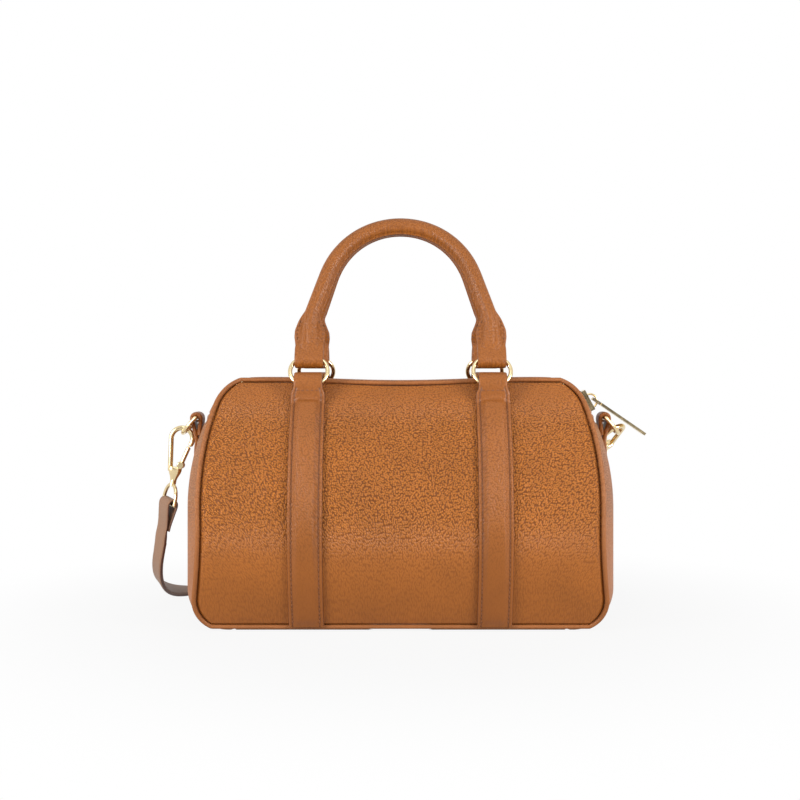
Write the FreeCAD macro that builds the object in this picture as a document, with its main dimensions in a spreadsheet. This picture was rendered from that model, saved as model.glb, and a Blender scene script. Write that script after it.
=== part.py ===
import FreeCAD, Part
import math
import os

V = FreeCAD.Vector
X = V(1, 0, 0)
Y = V(0, 1, 0)
Z = V(0, 0, 1)

doc = FreeCAD.newDocument("barrel_bag")
sheet = doc.addObject("Spreadsheet::Sheet", "sizes")

# Driving dimensions in millimetres and degrees, one row each.
SIZES = [
    ("bag_length", 251.0, "over both bulged ends"),
    ("bag_height", 142.0, "floor to the flat top"),
    ("bag_depth", 125.0, "front to rear at the widest"),
    ("widest_drop", 82.0, "flat top down to the widest line"),
    ("base_depth", 93.0, "front to rear at the floor"),
    ("shoulder_depth", 54.0, "front to rear at the shoulder line"),
    ("shoulder_drop", 3.5, "top down to the shoulder line"),
    ("end_bulge_radius", 145.0, "plan radius of each end"),
    ("corner_radius", 28.0, "upper corner, zip part"),
    ("corner_turn", 62.0, "degrees turned by the zip part"),
    ("side_radius", 130.0, "upper corner, lower part"),
    ("base_corner", 20.0, "lower corners"),
    ("leather", 1.6, "panel thickness"),
    ("welt_out", 1.0, "piping proud of the panels"),
    ("welt_in", 2.0, "piping below the panels"),
    ("lining_gap", 2.2, "front panel face to lining"),
    ("lining_end_gap", 3.8, "end panel face to lining"),
    ("lining_cloth", 0.8, "lining thickness"),
    ("lining_mouth", 36.0, "front to rear at the lining's opening"),
    ("board", 1.8, "base board thickness"),
    ("gap", 0.35, "running clearance"),
    ("mouth_length", 150.0, "straight part of the zip that opens"),
    ("window", 11.0, "gap between the zip facings"),
    ("zip_end_drop", 25.0, "flat top down to the lower end of the corner facings"),
    ("zip_sill", 4.5, "facing below the end of the window"),
    ("tape", 0.6, "zip tape thickness"),
    ("tape_width", 17.0, "both tapes together"),
    ("tooth", 1.3, "tooth along the zip"),
    ("tooth_pitch", 3.0, "tooth to tooth on one side"),
    ("chain_width", 5.2, "both rows of teeth"),
    ("chain_height", 2.0, "teeth from tape to top"),
    ("slider_length", 13.0, "along the zip"),
    ("slider_width", 9.0, "across the zip"),
    ("slider_plate", 2.0, "top plate thickness"),
    ("bail_radius", 3.6, "loop on the slider"),
    ("bail_wire", 1.2, "loop wire"),
    ("pull_length", 37.0, "hinge to the tip"),
    ("pull_width", 7.5, "flat pull"),
    ("pull_thick", 1.6, "flat pull"),
    ("band_spacing", 105.2, "band to band"),
    ("band_width", 19.5, "padded band"),
    ("band_thick", 2.4, "padded band"),
    ("fold_width", 15.6, "folds that hold the rings"),
    ("fold_radius", 5.4, "outside of those folds"),
    ("fold_turn", 46.0, "degrees round the barrel to the fold"),
    ("ring_width", 24.0, "oval ring, outside"),
    ("ring_height", 19.0, "oval ring, outside"),
    ("ring_wire", 2.5, "oval ring wire"),
    ("ring_lean", 25.0, "degrees toward the zip"),
    ("handle_lean", 15.7, "degrees toward the zip"),
    ("handle_tube", 9.0, "rolled handle"),
    ("handle_core", 6.0, "cord inside"),
    ("handle_crown", 46.0, "radius of the top arc"),
    ("handle_arm_lean", 20.0, "degrees off upright"),
    ("handle_bend", 30.0, "radius where arm meets tab"),
    ("tab_rise", 24.8, "ring fold to that bend"),
    ("tab_thick", 6.0, "flat handle end"),
    ("ear_width", 18.0, "widest part of the handle end"),
    ("ring_tab_width", 13.0, "tab on the bag end"),
    ("ring_tab_over", 1.5, "upper edge of the tab above the seam"),
    ("ring_tab_length", 24.0, "sewn part of the tab"),
    ("ring_tab_thick", 2.0, "sewn part of the tab"),
    ("ring_tab_fold", 4.6, "outside radius of its fold"),
    ("ring_bar_over", 0.6, "bar in the tab's fold above the seam"),
    ("dee_half", 8.9, "half the bar of the D-ring"),
    ("dee_reach", 12.5, "bar to the far arc"),
    ("dee_wire", 2.4, "D-ring wire"),
    ("dee_droop", 47.0, "degrees below level"),
    ("hook_bow", 6.4, "bow radius of the snap hook"),
    ("hook_wire", 2.8, "hook wire"),
    ("hook_leg", 18.5, "leg below the bow"),
    ("hook_taper", 9.8, "degrees the leg leans in"),
    ("hook_nose", 34.0, "degrees the nose turns down"),
    ("hook_barrel", 3.6, "radius of the hook's base"),
    ("hook_barrel_length", 7.0, "height of the hook's base"),
    ("gate_rod", 2.2, "gate thickness"),
    ("gate_pin", 1.2, "gate pin diameter"),
    ("post", 2.2, "swivel post diameter"),
    ("post_head", 3.8, "swivel post head diameter"),
    ("eye_half", 8.9, "half width of the swivel eye"),
    ("eye_leg", 2.5, "straight legs of the eye"),
    ("eye_wire", 2.2, "eye wire"),
    ("strap_width", 15.0, "leather strap"),
    ("strap_thick", 2.6, "leather strap"),
    ("strap_fold_length", 22.0, "doubled end below the eye"),
    ("left_hook_tilt", 11.7, "degrees the left hook hangs outward"),
    ("right_hook_tilt", 8.0, "degrees the right hook hangs inward"),
    ("right_hook_back", 62.0, "degrees the right hook leans back"),
    ("right_hook_slide", 36.0, "degrees the right hook has slid round its D-ring"),
    ("left_eye_turn", 58.0, "degrees the left eye is turned"),
    ("right_eye_turn", 66.0, "degrees the right eye is turned"),
    ("hank_run", 228.0, "length of each put-away run"),
    ("hank_pitch", 6.0, "run to run"),
    ("hank_back", 77.0, "put-away strap behind the centre"),
]
for row, (alias, value, note) in enumerate(SIZES, 1):
    sheet.set("A%d" % row, alias)
    sheet.set("B%d" % row, str(value))
    sheet.setAlias("B%d" % row, alias)
    sheet.set("C%d" % row, note)
doc.recompute()


def mm(alias):
    """The value of one driving dimension."""
    return float(sheet.get(alias))


def turned(degrees):
    """Sine and cosine of an angle in degrees."""
    return math.sin(math.radians(degrees)), math.cos(math.radians(degrees))


def frame(origin, x_axis, z_axis):
    """A placement whose own X and Z point along the two given directions."""
    x_axis = V(x_axis).normalize()
    y_axis = V(z_axis).cross(x_axis).normalize()
    z_axis = x_axis.cross(y_axis)
    rows = FreeCAD.Matrix(
        x_axis.x, y_axis.x, z_axis.x, origin.x,
        x_axis.y, y_axis.y, z_axis.y, origin.y,
        x_axis.z, y_axis.z, z_axis.z, origin.z)
    return FreeCAD.Placement(rows)


def made(label, shape):
    """A sub-part from a finished shape."""
    thing = doc.addObject("Part::Feature", label)
    thing.Label = label
    thing.Shape = shape
    return thing


def primitive(kind, name, place, **sizes):
    """A primitive whose sizes are expressions over the sheet."""
    thing = doc.addObject("Part::" + kind, name)
    for key, text in sizes.items():
        thing.setExpression(key, text)
    thing.Placement = place
    return thing


def joined(name, things):
    """Several objects fused into one."""
    whole = doc.addObject("Part::MultiFuse", name)
    whole.Shapes = things
    whole.Refine = True
    return whole


def less(name, base, tool):
    """One object cut by another."""
    rest = doc.addObject("Part::Cut", name)
    rest.Base = base
    rest.Tool = tool
    return rest


def at(x, y, z):
    return FreeCAD.Placement(V(x, y, z), FreeCAD.Rotation())


def box(x0, x1, y0, y1, z0, z1):
    """A plain box between two corners."""
    return Part.makeBox(x1 - x0, y1 - y0, z1 - z0, V(x0, y0, z0))


half_length = mm("bag_length") / 2
half_depth = mm("bag_depth") / 2
height = mm("bag_height")
widest = height - mm("widest_drop")
leather = mm("leather")
gap = mm("gap")
far = 2 * mm("bag_length")

# Barrel section in the YZ plane: a lower and an upper arc that meet upright at the widest line.
tuck = half_depth - mm("base_depth") / 2
lower_radius = (tuck ** 2 + widest ** 2) / (2 * tuck)
shoulder_in = half_depth - mm("shoulder_depth") / 2
shoulder_up = height - mm("shoulder_drop") - widest
upper_radius = (shoulder_in ** 2 + shoulder_up ** 2) / (2 * shoulder_in)


floor_run = 2 * leather


def barrel(inset):
    """The barrel, its section moved inward by inset, run along X past both ends."""
    low = lower_radius - inset
    high = upper_radius - inset
    low_mid = lower_radius - half_depth
    high_mid = upper_radius - half_depth
    floor = -floor_run
    apex = widest + math.sqrt(high ** 2 - high_mid ** 2)
    foot = low_mid - math.sqrt(low ** 2 - (widest - floor) ** 2)
    belly = -half_depth + inset
    turn = math.atan2(apex - widest, high_mid) / 2
    rise = V(0, high_mid - high * math.cos(turn), widest + high * math.sin(turn))
    dip = math.atan2(widest - floor, low_mid - foot) / 2
    sink = V(0, low_mid - low * math.cos(dip), widest - low * math.sin(dip))
    mirror = lambda p: V(p.x, -p.y, p.z)
    foot_point, belly_point = V(0, foot, floor), V(0, belly, widest)
    apex_point = V(0, 0, apex)
    edges = [
        Part.Arc(foot_point, sink, belly_point).toShape(),
        Part.Arc(belly_point, rise, apex_point).toShape(),
        Part.Arc(apex_point, mirror(rise), mirror(belly_point)).toShape(),
        Part.Arc(mirror(belly_point), mirror(sink), mirror(foot_point)).toShape(),
        Part.makeLine(mirror(foot_point), foot_point)]
    face = Part.Face(Part.Wire(edges))
    face.translate(V(-far / 2, 0, 0))
    return face.extrude(V(far, 0, 0))


# Side view in the XZ plane: base, lower corner, side, two-part upper corner, flat top.
corner_sine, corner_cosine = turned(mm("corner_turn"))
side_radius = mm("side_radius")
corner_radius = mm("corner_radius")
side_top = height - corner_radius * (1 - corner_cosine) - side_radius * corner_cosine
side_mid = half_length - side_radius
corner_mid = side_mid + (side_radius - corner_radius) * corner_sine
corner_mid_height = height - corner_radius
plan_axis = mm("end_bulge_radius") - half_length


def on_side(radius, degrees):
    """A point of the end's upper arc, by its radius and its degrees above level."""
    sine, cosine = turned(degrees)
    return V(side_mid + radius * cosine, 0, side_top + radius * sine)


def on_corner(radius, degrees):
    """A point of the zip corner, by its radius and the degrees it has turned from the flat top."""
    sine, cosine = turned(degrees)
    return V(corner_mid + radius * sine, 0, corner_mid_height + radius * cosine)


# Half the sweep of an end, in degrees: enough to reach past both panels.
SECTOR = 86
right_half = box(0, far, -far, far, -far, far)


def hoop(inset):
    """The bag as seen from the front, moved inward by inset and bulged in plan."""
    low = mm("base_corner")
    break_turn = mm("corner_turn")
    lower_mid = V(half_length - low, 0, low)
    diagonal = (low - inset) * math.sqrt(0.5)
    points = [V(-plan_axis, 0, inset), V(half_length - low, 0, inset), V(half_length - inset, 0, low)]
    edges = [
        Part.makeLine(points[0], points[1]),
        Part.Arc(points[1], lower_mid + V(diagonal, 0, -diagonal), points[2]).toShape()]
    side = on_side(side_radius - inset, 0)
    meet = on_side(side_radius - inset, 90 - break_turn)
    shoulder = on_corner(corner_radius - inset, 0)
    edges.append(Part.makeLine(points[2], side))
    edges.append(Part.Arc(side, on_side(side_radius - inset, (90 - break_turn) / 2), meet).toShape())
    edges.append(Part.Arc(meet, on_corner(corner_radius - inset, break_turn / 2), shoulder).toShape())
    peak = V(-plan_axis, 0, height - inset)
    edges.append(Part.makeLine(shoulder, peak))
    edges.append(Part.makeLine(peak, points[0]))
    face = Part.Face(Part.Wire(edges))
    face.rotate(V(-plan_axis, 0, 0), Z, -SECTOR)
    right = face.revolve(V(-plan_axis, 0, 0), Z, 2 * SECTOR).common(right_half)
    return right.fuse(right.mirror(V(0, 0, 0), X)).removeSplitter()


def one(shape):
    """The only solid of a shape."""
    solids = [s for s in shape.Solids if s.Volume > 1e-3 * max(p.Volume for p in shape.Solids)]
    if len(solids) != 1:
        raise ValueError("%d solids where one was wanted" % len(solids))
    return solids[0]


welt_out = mm("welt_out")
welt_in = mm("welt_in")
barrel_skin, barrel_inside = barrel(0), barrel(leather)
barrel_welt, barrel_under = barrel(-welt_out), barrel(welt_in)
hoop_skin, hoop_inside = hoop(0), hoop(leather)
hoop_welt, hoop_under = hoop(-welt_out), hoop(welt_in)
front_half = box(-far, far, -far, 0, -far, far)
rear_half = box(-far, far, 0, far, -far, far)

# Front and rear panels with their piping.
shell = barrel_skin.cut(barrel_inside).common(hoop_under)
quarter = box(0, far, -far, 0, 0, far)
welt = barrel_welt.common(quarter).common(hoop_welt).cut(barrel_under).cut(hoop_under)
made("front_panel", one(shell.common(front_half)))
made("rear_panel", one(shell.common(rear_half)))
front_piping = one(welt.fuse(welt.mirror(V(0, 0, 0), X)).removeSplitter())
made("front_piping", front_piping)
made("rear_piping", front_piping.mirror(V(0, 0, 0), Y))

# Base, ends and zip facings, all cut from the band that runs round the bag between the two panels.
seam = half_length - mm("base_corner")
zip_end = height - mm("zip_end_drop")
band_quarter = hoop_skin.common(quarter).cut(hoop_inside).common(barrel_under)
base_quarter = band_quarter.common(box(0, seam, -far, 0, -far, mm("base_corner")))
base_half = base_quarter.fuse(base_quarter.mirror(V(0, 0, 0), X)).removeSplitter()
made("base_panel", one(base_half.fuse(base_half.mirror(V(0, 0, 0), Y)).removeSplitter()))
end_half = one(band_quarter.common(box(seam, far, -far, 0, -far, zip_end)))
end_panel = one(end_half.fuse(end_half.mirror(V(0, 0, 0), Y)).removeSplitter())
made("right_end_panel", end_panel)
made("left_end_panel", end_panel.mirror(V(0, 0, 0), X))
mouth = mm("mouth_length") / 2
window = mm("window") / 2
sill = zip_end + mm("zip_sill")
top = band_quarter.common(box(0, far, -far, 0, zip_end, far)).cut(box(-far, far, -window, window, sill, far))
corner_half = top.common(box(mouth + gap / 2, far, -far, far, -far, far))
corner_facing = one(corner_half.fuse(corner_half.mirror(V(0, 0, 0), Y)).removeSplitter())
made("right_corner_facing", corner_facing)
made("left_corner_facing", corner_facing.mirror(V(0, 0, 0), X))
flap_band = top.common(barrel(welt_in + gap))
flap_span = box(-mouth + gap / 2, mouth - gap / 2, -far, far, -far, far)
flap_half = flap_band.common(flap_span)
flap = one(flap_half.fuse(flap_half.mirror(V(0, 0, 0), X)).removeSplitter())
made("zip_facing_front", flap)
made("zip_facing_rear", flap.mirror(V(0, 0, 0), Y))

# Zip tapes lie under the facings, and the teeth stand on them in the window.
tape_half = mm("tape_width") / 2
chain_half = mm("chain_width") / 2
tape_top = leather
tape_low = leather + mm("tape")
tape_band = hoop(tape_top).cut(hoop(tape_low))
tape_band = tape_band.common(box(-far, far, -tape_half, tape_half, sill - mm("zip_sill") / 2, far))
right_end = box(mouth + gap / 2, far, -far, far, -far, far)
left_end = box(-far, -mouth - gap / 2, -far, far, -far, far)
made("right_corner_tape", one(tape_band.common(right_end)))
made("left_corner_tape", one(tape_band.common(left_end)))
slit = box(-far, far, -gap / 2, gap / 2, -far, far)
tapes = tape_band.common(flap_span).cut(slit)
made("zip_tape_front", one(tapes.common(front_half)))
made("zip_tape_rear", one(tapes.common(rear_half)))
chain_top = tape_top - mm("chain_height")
chain_band = hoop(chain_top).cut(hoop_inside)
stop_room = mm("zip_sill")
chain_box = box(-far, far, -chain_half, chain_half, sill + stop_room, far)
chain = chain_band.common(chain_box)
made("right_corner_teeth", one(chain.common(right_end)))
made("left_corner_teeth", one(chain.common(left_end)))
stop_box = box(-far, far, -chain_half, chain_half, sill + gap, sill + stop_room - gap)
stops = chain_band.common(stop_box)
made("zip_end_stops", Part.Compound(stops.Solids))
tooth = mm("tooth")
pitch = mm("tooth_pitch")
root_share = 0.45
tip_share = 0.25


def tooth_row(side, offset):
    """One row of teeth on a bead, side -1 in front and 1 at the rear."""
    low, high = height - leather, height - chain_top
    near, out = sorted((side * root_share * chain_half, side * chain_half))
    bead = box(-mouth + gap / 2, mouth - gap / 2, near, out, low, low + root_share * (high - low))
    count = int((mouth - pitch) / pitch)
    teeth = []
    for step in range(-count, count + 1):
        middle = step * pitch + offset
        inner, outer = sorted((-side * tip_share * chain_half, side * chain_half))
        teeth.append(box(middle - tooth / 2, middle + tooth / 2, inner, outer, low, high))
    return one(bead.multiFuse(teeth).removeSplitter())


made("zip_teeth_front", tooth_row(-1, 0.0))
made("zip_teeth_rear", tooth_row(1, pitch / 2))

# Lining and base board inside.
lining_gap = mm("lining_gap")
lining_end_gap = mm("lining_end_gap")
cloth = mm("lining_cloth")
pouch = barrel(lining_gap).common(hoop(lining_end_gap))
hollow = barrel(lining_gap + cloth).common(hoop(lining_end_gap + cloth))
lining_mouth = mm("lining_mouth") / 2
opening = box(-mouth, mouth, -lining_mouth, lining_mouth, widest, far)
lining_half = one(pouch.cut(hollow).cut(opening).common(front_half))
made("lining", one(lining_half.fuse(lining_half.mirror(V(0, 0, 0), Y)).removeSplitter()))
board_long_share = 0.88
board_deep_share = 0.85
board_at = at(-seam * board_long_share, -mm("base_depth") * board_deep_share / 2, leather)
board_long = "2 * (sizes.bag_length / 2 - sizes.base_corner) * %g" % board_long_share
board_deep = "sizes.base_depth * %g" % board_deep_share
primitive("Box", "base_board", board_at, Length=board_long, Width=board_deep, Height="sizes.board")

# Bands on the barrel, each with the fold that holds its ring.
ring_mid = mm("ring_height") / 2 - mm("ring_wire") / 2
ring_straight = (mm("ring_width") - mm("ring_height")) / 2
fold_half = mm("fold_width") / 2
ring_inside = ring_mid - mm("ring_wire") / 2
rise = ring_inside - math.sqrt(ring_inside ** 2 - (fold_half - ring_straight) ** 2)
edge_cosine = math.sqrt(1 - ((fold_half - ring_straight) / ring_inside) ** 2)
tunnel = (rise + mm("ring_wire")) / 2 + gap / edge_cosine
fold_radius = mm("fold_radius")
fold_sine, fold_cosine = turned(mm("fold_turn"))
fold_from = upper_radius + fold_radius
lower_axis = V(0, -(fold_from * fold_cosine - (upper_radius - half_depth)), widest + fold_from * fold_sine)
lean_sine, lean_cosine = turned(mm("ring_lean"))
ring_up = V(0, lean_sine, lean_cosine)
upper_axis = lower_axis + ring_up * (2 * ring_mid - rise)
band_half = mm("band_width") / 2
band_x = mm("band_spacing") / 2
band_skin = barrel(-mm("band_thick")).cut(barrel_skin)
band_top = lower_axis.z - fold_radius * fold_sine + mm("band_thick") * fold_sine


def band_piece(label, x_mid, front):
    """A padded band from the base to its ring, with the fold that holds the ring."""
    foot = welt_in + welt_out + gap
    strip = band_skin.common(box(x_mid - band_half, x_mid + band_half, -far, 0, foot, band_top))
    fold = Part.makeCylinder(fold_radius, 2 * fold_half, lower_axis + X * (x_mid - fold_half), X)
    hole = Part.makeCylinder(tunnel, far, lower_axis + X * (x_mid - far / 2), X)
    piece = strip.fuse(fold.cut(barrel_skin)).cut(hole).removeSplitter()
    piece = one(piece)
    if not front:
        piece = piece.mirror(V(0, 0, 0), Y)
    made(label, piece)


band_piece("front_left_band", -band_x, True)
band_piece("front_right_band", band_x, True)
band_piece("rear_left_band", -band_x, False)
band_piece("rear_right_band", band_x, False)


def oval_ring(label, x_mid, front):
    """An oval ring from two half tori and two bars."""
    middle = lower_axis + ring_up * (ring_mid - rise / 2)
    side = 1 if front else -1
    up = V(0, side * ring_up.y, ring_up.z)
    middle = V(x_mid, side * middle.y, middle.z)
    local = frame(middle, X, X.cross(up))
    bend = "(sizes.ring_height - sizes.ring_wire) / 2"
    wire = "sizes.ring_wire / 2"
    straight = "sizes.ring_width - sizes.ring_height"
    things = []
    for sign, start in ((1, -90), (-1, 90)):
        spin = FreeCAD.Rotation(Z, start)
        place = local.multiply(FreeCAD.Placement(V(sign * ring_straight, 0, 0), spin))
        things.append(primitive("Torus", label + "_end", place, Radius1=bend, Radius2=wire, Angle3="180"))
    for sign in (1, -1):
        spin = FreeCAD.Rotation(Y, 90)
        place = local.multiply(FreeCAD.Placement(V(-ring_straight, sign * ring_mid, 0), spin))
        things.append(primitive("Cylinder", label + "_bar", place, Radius=wire, Height=straight))
    return joined(label, things)


oval_ring("front_left_ring", -band_x, True)
oval_ring("front_right_ring", band_x, True)
oval_ring("rear_left_ring", -band_x, False)
oval_ring("rear_right_ring", band_x, False)

# Handles: a rolled tube over a cord, flattened to a folded tab round each upper ring bar.
arm_sine, arm_cosine = turned(mm("handle_arm_lean"))
crown = mm("handle_crown")
tab_rise = mm("tab_rise")
arm_out = band_x - crown * arm_cosine
arm_up = arm_out / arm_sine * arm_cosine
crown_mid = tab_rise + arm_up - crown * arm_sine
bend_back = mm("handle_bend") * math.tan(math.radians(mm("handle_arm_lean")) / 2)
tube_start_share = 0.3
ear_low_share = 0.4
ear_high_share = 0.55


def handle_path(start):
    """The tube's centre line in the handle's own plane, X along the bag and Y up the handle."""
    foot = V(band_x, start, 0)
    bend_low = V(band_x, tab_rise - bend_back, 0)
    bend_high = V(band_x - bend_back * arm_sine, tab_rise + bend_back * arm_cosine, 0)
    bend_mid_radius = mm("handle_bend")
    half_sine, half_cosine = turned(mm("handle_arm_lean") / 2)
    bend_mid = V(band_x - bend_mid_radius * (1 - half_cosine), bend_low.y + bend_mid_radius * half_sine, 0)
    arm_top = V(crown * arm_cosine, crown_mid + crown * arm_sine, 0)
    peak = V(0, crown_mid + crown, 0)
    flip = lambda p: V(-p.x, p.y, p.z)
    edges = [
        Part.makeLine(foot, bend_low),
        Part.Arc(bend_low, bend_mid, bend_high).toShape(),
        Part.makeLine(bend_high, arm_top),
        Part.Arc(arm_top, peak, flip(arm_top)).toShape(),
        Part.makeLine(flip(arm_top), flip(bend_high)),
        Part.Arc(flip(bend_high), flip(bend_mid), flip(bend_low)).toShape(),
        Part.makeLine(flip(bend_low), flip(foot))]
    return Part.Wire(edges)


def swept(path, diameter):
    """A round tube along a flat path that starts along its own Y."""
    start = path.Edges[0].Vertexes[0].Point
    section = Part.Wire([Part.makeCircle(diameter / 2, start, Y)])
    return path.makePipeShell([section], True, False)


def handle_pieces(front):
    side = 1 if front else -1
    name = "front_handle" if front else "rear_handle"
    sine, cosine = turned(mm("handle_lean"))
    up = V(0, side * sine, cosine)
    place = frame(V(0, side * upper_axis.y, upper_axis.z), X, X.cross(up))
    tube = swept(handle_path(tube_start_share * tab_rise), mm("handle_tube"))
    core_path = handle_path(tube_start_share * tab_rise + fold_radius)
    core = swept(core_path, mm("handle_core"))
    thick = mm("tab_thick")
    ear = mm("ear_width") / 2
    pieces = [tube]
    holes = [core]
    for x_mid in (-band_x, band_x):
        half_widths = [(fold_half, 0), (ear, ear_low_share), (ear, ear_high_share)]
        half_widths.append((mm("handle_tube") / 2, 1))
        outline = [V(x_mid - half, tab_rise * share, 0) for half, share in half_widths]
        outline += [V(x_mid + half, tab_rise * share, 0) for half, share in half_widths[::-1]]
        tab = Part.Face(Part.makePolygon(outline + outline[:1])).extrude(V(0, 0, thick))
        tab.translate(V(0, 0, -thick / 2))
        fold = Part.makeCylinder(fold_radius, 2 * fold_half, V(x_mid - fold_half, 0, 0), X)
        pieces += [tab, fold]
        holes.append(Part.makeCylinder(tunnel, far, V(x_mid - far / 2, 0, 0), X))
    cover = pieces[0].multiFuse(pieces[1:])
    for hole in holes:
        cover = cover.cut(hole)
    made(name + "_cover", one(cover)).Placement = place
    made(name + "_core", core).Placement = place


handle_pieces(True)
handle_pieces(False)

# Tabs on the bag's ends and their D-rings.
tab_from = side_radius + mm("ring_tab_thick") + mm("ring_tab_fold") - gap
tab_turn = math.asin((zip_end + mm("ring_bar_over") - side_top) / tab_from)
dee_bar = on_side(tab_from, math.degrees(tab_turn))
tab_half = mm("ring_tab_width") / 2
tab_fold = mm("ring_tab_fold")
dee_hole = mm("dee_wire") / 2 + gap
tab_top = zip_end + mm("ring_tab_over")
tab_skin = hoop(-mm("ring_tab_thick")).cut(hoop_skin)
tab_strip = tab_skin.common(box(0, far, -tab_half, tab_half, tab_top - mm("ring_tab_length"), tab_top))
tab_loop = Part.makeCylinder(tab_fold, 2 * tab_half, V(dee_bar.x, -tab_half, dee_bar.z), Y)
tab_bore = Part.makeCylinder(dee_hole, far, V(dee_bar.x, -far / 2, dee_bar.z), Y)
ring_tab = one(tab_strip.fuse(tab_loop.cut(hoop_skin)).cut(tab_bore).removeSplitter())
made("right_ring_tab", ring_tab)
made("left_ring_tab", ring_tab.mirror(V(0, 0, 0), X))


def dee_ring(label, side):
    """A D-ring: a bar, two legs and a half torus. Its own X points from the bar to the arc."""
    sine, cosine = turned(mm("dee_droop"))
    out = V(side * cosine, 0, -sine)
    local = frame(V(side * dee_bar.x, 0, dee_bar.z), out, out.cross(Y))
    wire = "sizes.dee_wire / 2"
    half = mm("dee_half")
    leg = mm("dee_reach") - half
    things = []
    place = local.multiply(FreeCAD.Placement(V(leg, 0, 0), FreeCAD.Rotation(Z, -90)))
    bend = "sizes.dee_half"
    things.append(primitive("Torus", label + "_arc", place, Radius1=bend, Radius2=wire, Angle3="180"))
    place = local.multiply(FreeCAD.Placement(V(0, -half, 0), FreeCAD.Rotation(X, -90)))
    things.append(primitive("Cylinder", label + "_bar", place, Radius=wire, Height="2 * sizes.dee_half"))
    for sign in (-1, 1):
        place = local.multiply(FreeCAD.Placement(V(0, sign * half, 0), FreeCAD.Rotation(Y, 90)))
        reach = "sizes.dee_reach - sizes.dee_half"
        things.append(primitive("Cylinder", label + "_leg", place, Radius=wire, Height=reach))
        place = local.multiply(FreeCAD.Placement(V(0, sign * half, 0), FreeCAD.Rotation()))
        things.append(primitive("Sphere", label + "_knee", place, Radius=wire))
    return joined(label, things)


dee_ring("right_d_ring", 1)
dee_ring("left_d_ring", -1)

# Snap hooks, made once in a plane of their own: X across, Z up the hook, the bow's centre at the origin.
bow = mm("hook_bow")
hook_wire = mm("hook_wire")
taper_sine, taper_cosine = turned(mm("hook_taper"))
nose_sine, nose_cosine = turned(mm("hook_nose"))
leg_top = V(-bow * taper_cosine, 0, -bow * taper_sine)
leg_end = leg_top + V(taper_sine, 0, -taper_cosine) * mm("hook_leg")
nose_end = V(bow * nose_cosine, 0, -bow * nose_sine)
barrel_radius = mm("hook_barrel")
barrel_length = mm("hook_barrel_length")
barrel_top = leg_end.z + hook_wire / 2
hook_path = Part.Wire([
    Part.Arc(nose_end, V(0, 0, bow), leg_top).toShape(),
    Part.makeLine(leg_top, leg_end)])
nose_along = V(nose_sine, 0, nose_cosine)
hook_section = Part.Wire([Part.makeCircle(hook_wire / 2, nose_end, nose_along)])
hook_bend = hook_path.makePipeShell([hook_section], True, False)
hook_base = Part.makeCylinder(barrel_radius, barrel_length, V(0, 0, barrel_top - barrel_length), Z)
post_bore = Part.makeCylinder(mm("post") / 2 + gap, far, V(0, 0, barrel_top - far), Z)
head_depth = mm("post_head") / 2 + gap
head_room = Part.makeCylinder(mm("post_head") / 2 + gap, head_depth, V(0, 0, barrel_top - head_depth), Z)
gate_rod = mm("gate_rod")
pin_point = V(barrel_radius - gate_rod / 2, 0, barrel_top + gate_rod)
cheek = gate_rod / 2
cheek_in = gate_rod / 2 + gap
cheeks = []
for sign in (-1, 1):
    y0, y1 = sorted((sign * cheek_in, sign * (cheek_in + cheek)))
    x0, x1 = pin_point.x - gate_rod, pin_point.x + gate_rod
    cheeks.append(box(x0, x1, y0, y1, barrel_top - gate_rod, pin_point.z + gate_rod))
hook_shape = hook_bend.fuse(hook_base).multiFuse(cheeks).cut(post_bore).cut(head_room)
pin_half = cheek_in + cheek
pin_shape = Part.makeCylinder(mm("gate_pin") / 2, 2 * pin_half, V(pin_point.x, -pin_half, pin_point.z), Y)
hook_shape = one(hook_shape.cut(pin_shape))
gate_along = (nose_end - nose_along * (hook_wire / 2 + gap) - pin_point)
gate_tip = pin_point + gate_along * ((gate_along.Length - gate_rod / 2) / gate_along.Length)
hub_share = 0.72
gate_length = (gate_tip - pin_point).Length
gate_shape = Part.makeCylinder(gate_rod / 2, gate_length, pin_point, gate_tip - pin_point)
gate_hub = Part.makeCylinder(gate_rod * hub_share, gate_rod, pin_point - Y * gate_rod / 2, Y)
gate_bore = Part.makeCylinder(mm("gate_pin") / 2 + gap, far, pin_point - Y * far / 2, Y)
gate_shape = one(gate_shape.fuse(gate_hub).cut(gate_bore))
# Swivel: a headed post in the hook's base and a wire eye below it.
eye_half = mm("eye_half")
eye_wire = mm("eye_wire")
collar_share = 1.2
head_share = 0.33
collar = collar_share * eye_wire
collar_top = barrel_top - barrel_length - gap
eye_mid = collar_top - collar - eye_half
eye_bar = eye_mid - mm("eye_leg")
head_thick = head_share * mm("post_head")
head_low = barrel_top - head_depth + gap
swivel = Part.makeCylinder(mm("post") / 2, head_low + head_thick - collar_top, V(0, 0, collar_top), Z)
swivel = swivel.fuse(Part.makeCylinder(mm("post_head") / 2, head_thick, V(0, 0, head_low), Z))
collar_low = collar_top - collar - eye_wire / 2
swivel = swivel.fuse(Part.makeCylinder(mm("post_head") / 2, collar_top - collar_low, V(0, 0, collar_low), Z))
eye_path = [
    Part.Arc(V(eye_half, 0, eye_mid), V(0, 0, eye_mid + eye_half), V(-eye_half, 0, eye_mid)).toShape(),
    Part.makeLine(V(-eye_half, 0, eye_mid), V(-eye_half, 0, eye_bar))]
eye_section = Part.Wire([Part.makeCircle(eye_wire / 2, V(eye_half, 0, eye_mid), Z)])
eye = Part.Wire(eye_path).makePipeShell([eye_section], True, False)
eye = eye.fuse(Part.makeCylinder(eye_wire / 2, eye_mid - eye_bar, V(eye_half, 0, eye_bar), Z))
eye = eye.fuse(Part.makeCylinder(eye_wire / 2, 2 * eye_half, V(-eye_half, 0, eye_bar), X))
for sign in (-1, 1):
    eye = eye.fuse(Part.makeSphere(eye_wire / 2, V(sign * eye_half, 0, eye_bar)))
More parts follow.
